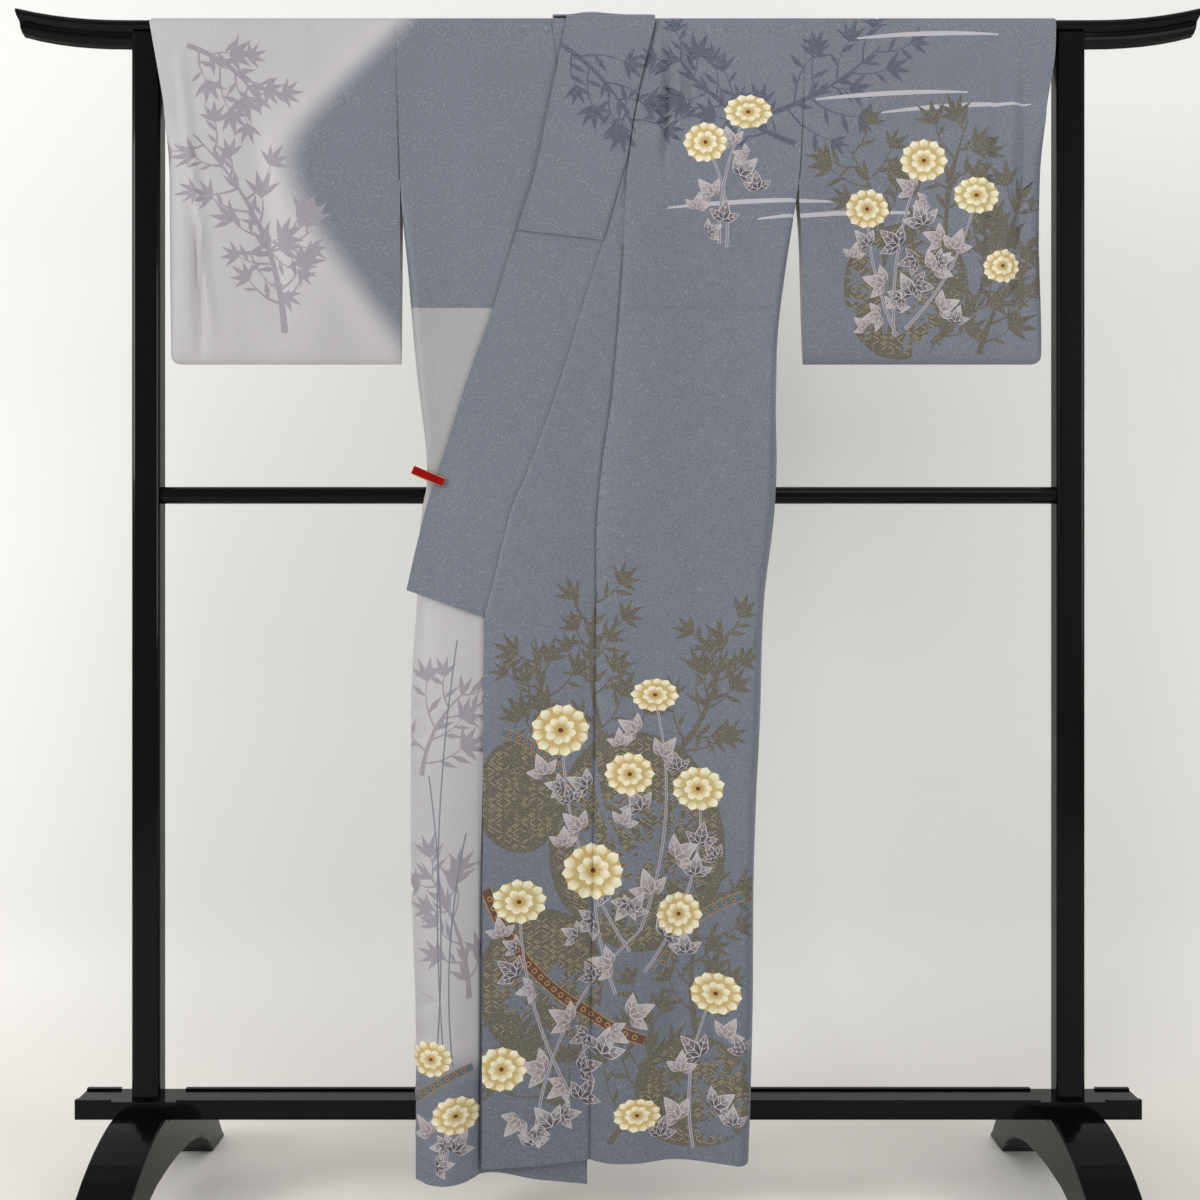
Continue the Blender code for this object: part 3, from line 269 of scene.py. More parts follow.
def turnPoint(side, angle, own, closed):
    centre, outer, front, back = side
    swing = math.radians(angle)
    middle = (front + back) / 2
    rounded = middle + (front - middle) * math.cos(swing)
    return centre + (outer - centre) * math.sin(swing), mix(own, rounded, closed)


def frontDepth(sign, x, z):
    if sign > 0:
        return outerFront(x, z, through(layers, z, "lift"))
    return innerFront(x, z) + rollDepth(x, z)


def sideOf(sign, z):
    # where the front turns round the side: x of the turn, outermost x, and y of front and back there
    table = leftFront if sign > 0 else rightFront
    turn = through(table, z, "turn")
    back = backDepth(turn, z) if sign > 0 else through(rightFront, z, "back")
    return turn, through(table, z, "outer"), frontDepth(sign, turn, z), back


def tone(red, green, blue):
    # a colour as seen on screen, turned into the linear value that a shader takes
    return tuple(((c / 255 + 0.055) / 1.055) ** 2.4 if c > 10 else c / 255 / 12.92
                 for c in (red, green, blue))


def blend(first, second, share):
    return tuple(mix(a, b, share) for a, b in zip(first, second))


dyes = {name: tone(*seen) for name, seen in {
    # the darker pale here is no dye of its own: it paints the shade under the collar onto the right front
    "blue": (98, 103, 114), "blueLow": (90, 96, 107), "pale": (170, 167, 169), "paleInCollarShade": (143, 142, 142),
    "halo": (184, 181, 175), "boughOnPale": (136, 132, 138), "boughOnBlue": (72, 76, 92), "olive": (80, 77, 68),
    "cream": (222, 217, 190), "gold": (178, 150, 84), "petalGreen": (166, 160, 102), "calyx": (96, 44, 36),
    "leafLight": (172, 165, 166), "leafRose": (128, 112, 116), "leafDeep": (66, 60, 72),
    "leafEdge": (178, 173, 172), "stemLine": (164, 160, 164), "stemFill": (120, 116, 126),
    "goldLine": (158, 144, 108), "stroke": (170, 168, 172), "greyLine": (112, 114, 126),
    "bandBrown": (84, 56, 50), "bandGold": (150, 116, 66), "bandTeal": (78, 96, 104),
}.items()}


# Motifs. Each is a list of shapes: a loop in metres, its dye at a point, and how it is printed.
def shape(loop, dye, printed=1.0, dust=0.0):
    return {"loop": loop, "dye": dye if callable(dye) else (lambda x, z: dye),
            "printed": printed, "dust": dust}


def turned(loop, spot, angle):
    c, s = math.cos(angle), math.sin(angle)
    return [(spot[0] + x * c - z * s, spot[1] + x * s + z * c) for x, z in loop]


def strip(route, widths):
    # a band of changing width along a route
    left, right = [], []
    for index, (x, z) in enumerate(route):
        before, after = route[max(index - 1, 0)], route[min(index + 1, len(route) - 1)]
        dx, dz = after[0] - before[0], after[1] - before[1]
        span = math.hypot(dx, dz) or 1.0
        half = widths(index / (len(route) - 1)) / 2
        left.append((x - dz / span * half, z + dx / span * half))
        right.append((x + dz / span * half, z - dx / span * half))
    return left + right[::-1]


def bar(route, widths, *look):
    return shape(strip(route, widths), *look)


def bow(start, end, swell, steps=14):
    # an arc from start to end that swells to its left by the given share of its span
    dx, dz = end[0] - start[0], end[1] - start[1]
    shares = [step / steps for step in range(steps + 1)]
    swells = [swell * 4 * t * (1 - t) for t in shares]
    return [(start[0] + dx * t - dz * off, start[1] + dz * t + dx * off) for t, off in zip(shares, swells)]


def roundLoop(spot, radius, steps):
    return [(spot[0] + radius * math.cos(math.tau * k / steps),
             spot[1] + radius * math.sin(math.tau * k / steps)) for k in range(steps)]


# Slender loops: where along the length they are fullest, the width there and at the foot as shares,
# and how blunt the tip is.
petal = {"steps": 5, "fullest": 0.64, "width": 0.8, "foot": 0.52, "tip": 0.4}
leaflet = {"steps": 7, "fullest": 0.42, "width": 0.56, "foot": 0.16, "tip": 0.8}


def slender(form, length, wider=1.0, start=0.0):
    side = []
    for step in range(1, form["steps"]):
        t = step / form["steps"]
        if t < form["fullest"]:
            swell = mix(form["foot"], 1.0, math.sin(math.pi / 2 * t / form["fullest"]))
        else:
            swell = ((1 - t) / (1 - form["fullest"])) ** form["tip"]
        side.append((form["width"] * wider / 2 * length * swell, start + t * length))
    return [(0.0, start)] + side + [(0.0, start + length)] + [(-x, z) for x, z in side[::-1]]


# Rings of petals: how many, their length, where they start and the radius of the ground under them, as shares
# of the size. The cream comes in along a petal, and one half of it is darker by the fold.
flower = {"rings": ((12, 0.24, 0.3, 0.5), (8, 0.21, 0.09, 0.29)), "eye": 0.052, "tilt": (0.68, 1.0),
          "groundCream": 0.1, "loose": 0.06, "lengths": (0.92, 1.06), "cream": (-0.1, 0.62), "fold": 0.2,
          "foldWidth": 0.06}


def blossom(spot, size, lean, seed, rear):
    # a round chrysanthemum: two rings of blunt petals about a small eye, more or less tilted away
    chance = random.Random(seed)
    flat = chance.uniform(*flower["tilt"])
    made = []

    def lay(loop, dye):
        made.append(shape([(x, spot[1] + (z - spot[1]) * flat) for x, z in loop], dye))

    for ring, (count, reach, foot, ground) in enumerate(flower["rings"]):
        deep = dyes["gold"] if ring else dyes[rear]
        lay(roundLoop(spot, size * ground, 24), blend(dyes["gold"], dyes["cream"], flower["groundCream"]))
        for k in range(count):
            swing = lean + math.tau * (k + 0.5 * ring) / count
            swing += chance.uniform(-flower["loose"], flower["loose"])
            long, start = size * reach * chance.uniform(*flower["lengths"]), size * foot
            aim = (-math.sin(swing), math.cos(swing))

            def dye(x, z, deep=deep, aim=aim, long=long, start=start):
                dx, dz = x - spot[0], (z - spot[1]) / flat
                share = ((dx * aim[0] + dz * aim[1]) - start) / long
                aside = (dx * aim[1] - dz * aim[0]) / (petal["width"] * long)
                fold = flower["fold"] * smoothStep(-flower["foldWidth"], flower["foldWidth"], aside)
                return blend(deep, dyes["cream"], max(smoothStep(*flower["cream"], share) - fold, 0.0))

            lay(turned(slender(petal, long, 1.0, start), spot, swing), dye)
    lay(roundLoop(spot, size * flower["eye"] * 2, 14), dyes["gold"])
    lay(roundLoop(spot, size * flower["eye"], 10), dyes["calyx"])
    return made


# Leaves: the leaflets' turns and lengths, the inner area's length and width, where veins start and how far
# they run, and where the rim's dye comes in.
leafShape = {"leaflets": ((-1.06, 0.84), (0.0, 1.0), (1.06, 0.84)), "inner": (0.95, 0.9), "midrib": 0.88,
             "veins": ((0.28, 0.32), (0.56, 0.28)), "veinTurn": (0.6, 0.62), "line": 0.03, "rim": (0.1, 0.95)}


def leaf(spot, size, turn, core, rim):
    # three oval leaflets that meet at the stalk, each with a light edge, a midrib and side veins
    made = []

    def dye(x, z):
        share = math.hypot(x - spot[0], z - spot[1]) / size
        return blend(core, rim, smoothStep(*leafShape["rim"], share))

    (shorter, narrower), (ahead, beside) = leafShape["inner"], leafShape["veinTurn"]
    for angle, reach in leafShape["leaflets"]:
        swing, long = turn + angle, size * reach
        aim = (-math.sin(swing), math.cos(swing))
        made.append(shape(turned(slender(leaflet, long), spot, swing), dyes["leafEdge"]))
        made.append(shape(turned(slender(leaflet, long * shorter, narrower), spot, swing), dye))

        def reached(along, aside):
            return (spot[0] + aim[0] * along * long + aim[1] * aside * long,
                    spot[1] + aim[1] * along * long - aim[0] * aside * long)

        lines = [(spot, reached(leafShape["midrib"], 0.0))]
        for along, out in leafShape["veins"]:
            lines += [(reached(along, 0.0), reached(along + out * ahead, side * out * beside))
                      for side in (-1, 1)]
        for line in lines:
            made.append(bar(line, lambda t: size * leafShape["line"] * (1.15 - 0.6 * t), dyes["leafEdge"]))
    return made


stalk = {"width": 0.004, "core": 0.55}


def stem(route):
    return [bar(route, lambda t: stalk["width"] * share * (1.15 - 0.35 * t), dyes[dye])
            for share, dye in ((1.0, "stemLine"), (stalk["core"], "stemFill"))]


# A fan of blades: how far out the shoulders of a blade lie and at what angle, the angle between blades
# and the length of the foot.
blade = {"reach": 0.46, "half": 0.3, "apart": 0.62, "foot": 0.13, "shorter": 0.16}


def bladeFan(spot, size, swing, count, *printing):
    # slender leaves fanned about one direction, as one outline
    loop = [(0.0, -blade["foot"] * size)]
    for k in range(count):
        off = (k - (count - 1) / 2) * blade["apart"]
        long = size * (1.0 - blade["shorter"] * abs(off))
        for aside, share in ((-blade["half"], blade["reach"]), (0.0, 1.0), (blade["half"], blade["reach"])):
            loop.append((math.sin(off + aside) * long * share, math.cos(off + aside) * long * share))
        if k < count - 1:
            between = off + blade["apart"] / 2
            loop.append((math.sin(between) * size * blade["foot"], math.cos(between) * size * blade["foot"]))
    return [shape(turned(loop, spot, swing), *printing)]


bough = {"steps": 16, "fan": 0.033, "twigSpan": (0.1, 0.98), "twigLean": (24, 66), "twigLong": (0.03, 0.08),
         "twigBow": 0.1, "twigWidth": 0.34, "leafAt": (2, 4), "leafShare": 0.8, "leafLean": (34, 62),
         "leafSize": (0.62, 0.95), "fanSize": (0.8, 1.2), "fullFans": 0.6, "rootFans": 0.5,
         "rootSize": (0.8, 1.1), "rootTurn": 1.1}


def leafyBough(start, end, swell, width, twigs, seed, *printing):
    # a bough with side twigs that carry single slender leaves and fans of them
    chance = random.Random(seed)
    fan, steps = bough["fan"], bough["steps"]
    route = bow(start, end, swell, steps)
    made = [bar(route, lambda t: width * (1.1 - t) + 0.001, *printing)]
    for count in range(twigs):
        at = mix(*bough["twigSpan"], (count + chance.uniform(0.2, 0.8)) / twigs)
        root, ahead = route[int(at * steps)], route[min(int(at * steps) + 1, steps)]
        heading = math.atan2(ahead[1] - root[1], ahead[0] - root[0]) if ahead != root else 1.2
        side = 1 if count % 2 else -1
        swing = heading + side * math.radians(chance.uniform(*bough["twigLean"]))
        long = chance.uniform(*bough["twigLong"]) * (1.15 - 0.45 * at)
        tip = (root[0] + math.cos(swing) * long, root[1] + math.sin(swing) * long)
        twig = bow(root, tip, bough["twigBow"] * side, 6)
        aim = swing - math.pi / 2
        made.append(bar(twig, lambda t: width * bough["twigWidth"] * (1.15 - t) + 0.0008, *printing))
        for place in bough["leafAt"]:
            if chance.random() < bough["leafShare"]:
                lean = math.radians(chance.uniform(*bough["leafLean"])) * (1 if chance.random() > 0.5 else -1)
                size = fan * chance.uniform(*bough["leafSize"])
                made += bladeFan(twig[place], size, aim + lean, 1, *printing)
        size = fan * chance.uniform(*bough["fanSize"])
        made += bladeFan(tip, size, aim, 4 if chance.random() < bough["fullFans"] else 5, *printing)
        if chance.random() < bough["rootFans"]:
            size = fan * chance.uniform(*bough["rootSize"])
            made += bladeFan(root, size, aim - side * bough["rootTurn"], 2, *printing)
    return made


lattice = {"wide": 0.046, "tall": 0.029, "rings": ((0.88, 2), (0.46, 1)), "line": 0.0009, "missing": 0.22,
           "dash": (0.14, 0.86), "within": 0.95, "wavy": 0.03}


def latticeField(centre, radius, seed, squash):
    # a rounded dusky ground crossed by rows of nested diamonds in broken gold line
    chance = random.Random(seed)
    wavy = lattice["wavy"]
    edge = [(centre[0] + radius * math.cos(a) * (1 + wavy * math.sin(3 * a + seed)),
             centre[1] + radius * squash * math.sin(a) * (1 + wavy * math.sin(2 * a + seed)))
            for a in (math.tau * k / 56 for k in range(56))]
    made = [shape(edge, dyes["olive"], 0.55, 1.0)]
    wide, tall, tallest = lattice["wide"], lattice["tall"], radius * squash

    def inside(x, z):
        return math.hypot((x - centre[0]) / radius, (z - centre[1]) / tallest) < lattice["within"]

    for row in range(int(tallest * 4 / tall) + 1):
        z = centre[1] - tallest + row * tall / 2
        half = radius * math.sqrt(max(1 - ((z - centre[1]) / tallest) ** 2, 0.0))
        for column in range(-int(half / wide) - 1, int(half / wide) + 2):
            x = centre[0] + (column + 0.5 * (row % 2)) * wide
            for ring, dashes in lattice["rings"]:
                corners = [(x + ring * wide / 2 * a, z + ring * tall / 2 * b)
                           for a, b in ((1, 0), (0, 1), (-1, 0), (0, -1), (1, 0))]
                for first, last in zip(corners, corners[1:]):
                    if chance.random() < lattice["missing"]:
                        continue
                    for dash in range(dashes):
                        points = [blend(first, last, (dash + part) / dashes) for part in lattice["dash"]]
                        if all(inside(*point) for point in points):
                            made.append(bar(points, lambda t: lattice["line"], dyes["goldLine"], 1.0, 0.4))
    return made


bandShares = {"ground": 0.8, "rings": ((0.26, "bandGold"), (0.14, "calyx"))}


def patternBand(route, width, ground):
    # a narrow band between gold edges, with a row of rings
    made = [bar(route, lambda t: width, dyes["bandGold"]),
            bar(route, lambda t: width * bandShares["ground"], ground)]
    for spot in route[1:-1]:
        made += [shape(roundLoop(spot, width * share, 8), dyes[dye]) for share, dye in bandShares["rings"]]
    return made


strokes = {"mist": 0.0062, "mistLeast": 0.0006, "mistBow": 0.02, "reed": 0.002}


def streak(start, end):
    # a long tapered stroke of mist
    def width(t):
        return strokes["mist"] * math.sin(math.pi * min(t * 0.9 + 0.06, 1.0)) ** 0.7 + strokes["mistLeast"]
    return bar(bow(start, end, strokes["mistBow"], 26), width, dyes["stroke"])


# Where each motif lies, in whole millimetres: x and height on the garment as it hangs. A line holds its start,
# its end and its swell. A bough adds its width in tenths and its twigs, a band its steps, width and ground,
# a lattice holds its middle, radius, seed and squash, a leaf its place, size, turn and kind, and a blossom its
# place, size, lean and rear dye.
olivePrint = ("olive", 0.55, 1.0)
designs = {
    "lowerFront": {
        "lattices": ((40, 545, 125, 3, 1.25), (-95, 345, 90, 5, 1.15), (120, 190, 85, 7, 0.95),
            (-125, 610, 62, 9, 1.3)),
        "boughs": ((("blue", 0.0, 0.0), (
            (110, 640, 0, 430, 0.1, 70, 9), (-20, 660, 80, 470, -0.12, 70, 8),
            (-160, 380, -40, 260, 0.1, 60, 8), (60, 230, 180, 150, 0.12, 60, 7))), (olivePrint, (
            (-150, 560, -105, 835, -0.1, 85, 12), (10, 640, -15, 900, 0.08, 85, 11),
            (80, 650, 160, 860, -0.12, 85, 11), (130, 250, 165, 520, 0.1, 80, 12),
            (-50, 160, -130, 310, 0.1, 80, 9), (0, 120, 60, 330, -0.1, 80, 10)))),
        "bands": ((-172, 480, 50, 265, -0.12, 24, 16, "bandBrown"),
            (190, 470, 70, 360, -0.1, 12, 13, "bandTeal"),
            (-150, 700, -50, 610, 0.12, 12, 13, "bandTeal")),
        "stems": ((-105, 120, 45, 420, 0.1), (45, 420, 65, 750, -0.08), (-60, 200, -125, 460, 0.06),
            (30, 390, -65, 700, 0.08), (50, 360, 130, 620, -0.1), (120, 110, 150, 330, 0.08),
            (10, 330, -20, 500, 0.05)),
        "leaves": ((-80, 145, 24, 0.7, 1), (-125, 160, 20, 2.4, 0), (-40, 180, 22, -0.6, 2),
            (-90, 225, 24, 1.3, 0), (-10, 245, 26, -0.3, 1), (-55, 290, 22, 1.0, 0),
            (30, 300, 24, -1.2, 0), (-130, 360, 21, 0.9, 2), (5, 370, 22, 1.4, 0),
            (80, 410, 26, -0.8, 1), (60, 470, 24, 0.3, 0), (0, 480, 24, 1.6, 2),
            (-40, 560, 22, 0.8, 0), (95, 520, 25, -1.0, 0), (45, 590, 22, 0.5, 1),
            (130, 540, 20, -0.2, 2), (-30, 620, 21, 1.1, 1), (75, 665, 21, -0.7, 0),
            (40, 700, 20, 1.0, 0), (-90, 640, 20, 0.4, 0), (100, 150, 24, 0.6, 0),
            (150, 170, 22, -0.9, 1), (130, 240, 24, 0.8, 2), (165, 270, 20, -0.5, 0),
            (-20, 430, 21, 2.0, 1), (-150, 415, 18, 0.2, 0)),
        "blossoms": ((66, 752, 64, -0.1, "gold"), (-68, 702, 78, 0.18, "gold"),
            (128, 618, 70, -0.3, "petalGreen"),
            (30, 640, 66, 0.05, "gold"), (-22, 502, 82, 0.12, "gold"), (100, 440, 62, -0.55, "gold"),
            (-126, 462, 72, 0.1, "petalGreen"), (152, 330, 70, -0.15, "gold"),
            (-150, 230, 66, 0.45, "gold"), (40, 160, 64, -0.2, "gold")),
    },
    "shoulder": {
        "boughs": ((("boughOnBlue", 0.35), (
            (270, 1545, 85, 1690, 0.08, 68, 11), (-70, 1690, 40, 1560, 0.08, 60, 8),
            (235, 1590, 395, 1690, -0.06, 60, 9))),),
        "streaks": ((85, 1452, 330, 1462), (215, 1436, 455, 1446), (300, 1610, 520, 1622),
            (395, 1592, 610, 1604), (360, 1700, 565, 1706)),
        "stems": ((170, 1395, 140, 1545, -0.08), (160, 1400, 200, 1590, 0.06)),
        "leaves": ((150, 1470, 20, 0.7, 0), (190, 1500, 22, -0.8, 1), (165, 1435, 19, -0.2, 2),
            (180, 1545, 18, 0.4, 0)),
        "blossoms": ((140, 1548, 60, 0.12, "gold"), (202, 1592, 66, -0.16, "gold")),
    },
    "leftSleeve": {
        "lattices": ((430, 1335, 90, 13, 1.1),),
        "boughs": ((("blue", 0.0, 0.0), (
            (360, 1400, 500, 1290, 0.1, 60, 9), (440, 1420, 400, 1270, -0.1, 60, 8))), (olivePrint, (
            (470, 1260, 600, 1500, -0.1, 82, 13), (540, 1245, 600, 1370, 0.06, 75, 8),
            (400, 1380, 345, 1540, -0.08, 75, 9), (490, 1350, 520, 1580, 0.06, 75, 10)))),
        "stems": ((415, 1270, 455, 1520, 0.06), (430, 1280, 530, 1470, -0.08), (420, 1270, 375, 1450, 0.06)),
        "leaves": ((440, 1330, 22, 0.5, 1), (400, 1345, 21, 1.3, 0), (470, 1365, 23, -0.8, 0),
            (420, 1400, 22, 0.9, 2), (500, 1395, 20, -0.4, 0), (455, 1430, 23, 0.3, 1),
            (395, 1300, 18, 1.8, 0), (480, 1310, 20, -1.2, 0), (375, 1400, 18, 0.7, 1),
            (440, 1480, 18, 1.0, 0)),
        "blossoms": ((456, 1522, 64, -0.05, "gold"), (532, 1472, 64, -0.35, "petalGreen"),
            (374, 1452, 60, 0.3, "gold"), (570, 1370, 50, -0.2, "gold")),
    },
    "rightSleeve": {
        "boughs": ((("boughOnPale", 0.35), (
            (-470, 1275, -600, 1560, -0.1, 85, 14), (-610, 1690, -500, 1600, 0.1, 65, 8),
            (-540, 1390, -430, 1420, -0.1, 50, 6))),),
    },
    "roll": {
        "boughs": ((("boughOnPale", 0.35), (
            (-195, 330, -262, 520, -0.08, 60, 9), (-262, 640, -200, 760, 0.1, 55, 7))),),
        "reeds": ((-226, 230, -214, 830, 0.03), (-240, 230, -252, 640, -0.03), (-216, 240, -200, 560, 0.04)),
        "bands": ((-270, 190, -190, 235, 0.08, 8, 12, "bandTeal"),),
        "stems": ((-225, 100, -206, 180, 0.05),),
        "leaves": ((-214, 125, 20, -0.6, 1), (-246, 150, 18, 0.8, 0)),
        "blossoms": ((-212, 172, 62, 0.25, "gold"), (-246, 250, 56, -0.1, "gold")),
    },
}
leafKinds = (("leafRose", "leafLight"), ("leafDeep", "leafLight"), ("leafDeep", "leafRose"))
leafPair = {"first": 1.62, "second": 1.28, "across": 1.15, "below": 0.95, "turn": 0.9}


def ends(row):
    return [(row[k] / 1000, row[k + 1] / 1000) for k in (0, 2)]


def drawn(name):
    # everything that one design prints, in the order in which it lies
    plan, made = designs[name], []
    for x, z, radius, seed, squash in plan.get("lattices", ()):
        made += latticeField((x / 1000, z / 1000), radius / 1000, seed, squash)
    for (dye, *printing), rows in plan.get("boughs", ()):
        for index, row in enumerate(rows):
            swell, width, twigs = row[4:]
            made += leafyBough(*ends(row), swell, width / 10000, twigs, index + abs(row[0] + row[3]),
                               dyes[dye], *printing)
    made += [streak(*ends(row)) for row in plan.get("streaks", ())]
    for row in plan.get("reeds", ()):
        made.append(bar(bow(*ends(row), row[4], 18), lambda t: strokes["reed"], dyes["greyLine"]))
    for row in plan.get("bands", ()):
        swell, steps, width, ground = row[4:]
        made += patternBand(bow(*ends(row), swell, steps), width / 1000, dyes[ground])
    for row in plan.get("stems", ()):
        made += stem(bow(*ends(row), row[4]))
    for index, row in enumerate(plan.get("leaves", ())):
        # each leaf has a smaller one below it, to either side by turns
        (x, z, size), (turn, kind) = [value / 1000 for value in row[:3]], row[3:]
        side = 1.0 if index % 2 else -1.0
        below = (x + side * size * leafPair["across"], z - size * leafPair["below"])
        for spot, share, swing, dyed in (((x, z), leafPair["first"], turn, kind),
                                         (below, leafPair["second"], turn + side * leafPair["turn"],
                                          (kind + index) % 3)):
            made += leaf(spot, size * share, swing, *[dyes[dye] for dye in leafKinds[dyed]])
    for index, row in enumerate(plan.get("blossoms", ())):
        x, z, size = [value / 1000 for value in row[:3]]
        made += blossom((x, z), size, row[3], index + abs(row[0]), row[4])
    return made


# Dye of the ground: a blunt blue wedge that comes in from the body side of the right sleeve
# and fades into the pale ground through a bright halo; under the collar the pale front gets painted shade.
paleField = {"tip": (-0.462, 1.525), "round": 0.06, "slopeUp": 1.1, "slopeDown": 0.8, "fade": 0.125,
             # then the heights over which, and the share by which, the pale front gets painted shade under the
             # collar
             "bodyFade": (0.15, 0.33), "collarShadeFrom": (0.9, 1.1), "deep": 0.8,
             "haloAt": 0.66, "haloWidth": 0.13, "halo": 0.28}


def fieldDye(inside):
    # inside runs from 0, all blue, to 1, all pale, with the halo on the pale side
    base = blend(dyes["blue"], dyes["pale"], smoothStep(0.3, 0.7, inside))
    glow = math.exp(-((inside - paleField["haloAt"]) / paleField["haloWidth"]) ** 2)
    return blend(base, dyes["halo"], paleField["halo"] * glow)


def plainBlue(x, z, back=False):
    return blend(dyes["blueLow"], dyes["blue"], smoothStep(0.1, 0.9, z))


def wedgeDye(x, z, back=False):
    (tipX, tipZ), rounding = paleField["tip"], paleField["round"]
    slope = paleField["slopeUp" if z - tipZ > 0 else "slopeDown"]
    edge = tipX + math.hypot(slope * (z - tipZ), rounding) - rounding
    return fieldDye(smoothStep(-1.0, 1.0, (edge - x) / paleField["fade"]))


def rightBodyGround(x, z, back):
    if z > cloth["tuck"]:
        return wedgeDye(x, z)
    if back:
        return plainBlue(x, z)
    own = fieldDye(smoothStep(*paleField["bodyFade"], z))
    # the pale front darkens from about a metre up to the tuck: painted shade under the collar, no dye of its
    # own
    return blend(own, dyes["paleInCollarShade"], paleField["deep"] * smoothStep(*paleField["collarShadeFrom"], z))


# Materials. Shared effects are node groups, the shader itself stays in each material.
def feed(tree, node, inputs):
    # each input is given a value or the output that drives it
    for key, value in inputs.items():
        if isinstance(value, bpy.types.NodeSocket):
            tree.links.new(value, node.inputs[key])
        else:
            node.inputs[key].default_value = value


def added(tree, kind, inputs, **settings):
    node = tree.nodes.new("ShaderNode" + kind)
    for key, value in settings.items():
        setattr(node, key, value)
    feed(tree, node, inputs)
    return node.outputs


def objectNoise(tree, scale, detail, stretch=(1.0, 1.0, 1.0)):
    place = added(tree, "TexCoord", {})["Object"]
    place = added(tree, "Mapping", {"Vector": place, "Scale": stretch})["Vector"]
    return added(tree, "TexNoise", {"Vector": place, "Scale": scale, "Detail": detail})["Fac"]


def mapped(tree, value, low, high, start=0.0, end=1.0):
    return added(tree, "MapRange", {"Value": value, "From Min": low, "From Max": high,
                                    "To Min": start, "To Max": end})["Result"]


def tinted(tree, kind, share, first, second):
    # two colours into one; a plain one is three values
    first, second = [dye if isinstance(dye, bpy.types.NodeSocket) else (*dye, 1.0) for dye in (first, second)]
    return added(tree, "Mix", {0: share, 6: first, 7: second}, data_type="RGBA", blend_type=kind)[2]


def counted(tree, kind, first, second=0.0):
    return added(tree, "Math", {0: first, 1: second}, operation=kind)[0]


def newMaterial(name):
    material = bpy.data.materials.new(name)
    material.use_nodes = True
    tree = material.node_tree
    return material, tree, tree.nodes["Principled BSDF"]


def bumpFrom(tree, height, strength, distance):
    return added(tree, "Bump", {"Height": height, "Strength": strength, "Distance": distance})["Normal"]


# the fleck noise is the mask of the painted glints of the crepe
crepe = {"grain": (640.0, 2.0, (1.0, 1.0, 0.7)), "glintFleck": (880.0, 1.0, (0.75, 0.75, 1.0)),
         "mottle": (9.0, 3.0, (1.0, 1.0, 0.35)), "glintRange": (0.52, 0.74), "mottleRange": (0.3, 0.7)}


def makeCrepe():
    # a crinkled weave: fine grain for the bump, a mask of scattered flecks for painted glints of the crepe,
    # broad uneven dye
    tree = bpy.data.node_groups.new("crepeWeave", "ShaderNodeTree")
    for label in ("Grain", "Glint", "Mottle"):
        tree.interface.new_socket(name=label, in_out="OUTPUT", socket_type="NodeSocketFloat")
    feed(tree, tree.nodes.new("NodeGroupOutput"), {
        "Grain": objectNoise(tree, *crepe["grain"]),
        "Glint": mapped(tree, objectNoise(tree, *crepe["glintFleck"]), *crepe["glintRange"]),
        "Mottle": mapped(tree, objectNoise(tree, *crepe["mottle"]), *crepe["mottleRange"]),
    })
    return tree


silkLook = {"roughness": (0.54, 0.64), "sheen": 0.14, "sheenRough": 0.4, "specular": 0.35, "bump": 0.3,
            # the near-white of the painted glints and their share, smaller on print
            "glintFleck": tone(208, 208, 210), "glintShare": 0.25, "glintOnPrint": 0.25, "uneven": (0.94, 1.05),
            "gilt": tone(168, 148, 108), "giltShare": 0.45, "giltScale": 900.0, "giltRange": (0.62, 0.68)}


def makeSilk(weave):
    material, tree, shader = newMaterial("dyedSilk")
    dye = added(tree, "Attribute", {}, attribute_name="dye")
    dust = added(tree, "Attribute", {}, attribute_name="dust")["Fac"]
    effect = added(tree, "Group", {}, node_tree=weave)
    bare = mapped(tree, dye["Alpha"], 0.0, 1.0, 1.0, silkLook["glintOnPrint"])
    # near-white flecks mixed into the colour, fewer on print: painted glints of the crinkled crepe
    glints = counted(tree, "MULTIPLY", counted(tree, "MULTIPLY", effect["Glint"], bare), silkLook["glintShare"])
    uneven = mapped(tree, effect["Mottle"], 0.0, 1.0, *silkLook["uneven"])
    shade = added(tree, "CombineColor", {0: uneven, 1: uneven, 2: uneven})["Color"]
    colour = tinted(tree, "MULTIPLY", 1.0, dye["Color"], shade)
    colour = tinted(tree, "MIX", glints, colour, silkLook["glintFleck"])
    gilt = mapped(tree, objectNoise(tree, silkLook["giltScale"], 0.0), *silkLook["giltRange"])
    gilt = counted(tree, "MULTIPLY", gilt, dust)
    gilt = counted(tree, "MULTIPLY", gilt, silkLook["giltShare"])
    feed(tree, shader, {
        "Base Color": tinted(tree, "MIX", gilt, colour, silkLook["gilt"]),
        "Roughness": mapped(tree, dye["Alpha"], 0.0, 1.0, *silkLook["roughness"]),
        "Sheen Weight": silkLook["sheen"], "Sheen Roughness": silkLook["sheenRough"],
        "Specular IOR Level": silkLook["specular"],
        "Normal": bumpFrom(tree, effect["Grain"], silkLook["bump"], 0.0006),
    })
    return material


def makeLining(weave):
    material, tree, shader = newMaterial("liningSilk")
    effect = added(tree, "Group", {}, node_tree=weave)
    feed(tree, shader, {
        "Base Color": tinted(tree, "MIX", effect["Mottle"], tone(222, 219, 212), tone(212, 208, 202)),
        "Roughness": mapped(tree, effect["Grain"], 0.0, 1.0, 0.44, 0.58), "Sheen Weight": 0.1,
        "Normal": bumpFrom(tree, effect["Grain"], 0.15, 0.0004),
    })
    return material


crepeWeave = makeCrepe()
silk, lining = makeSilk(crepeWeave), makeLining(crepeWeave)
print("stage 2: cloth materials made")


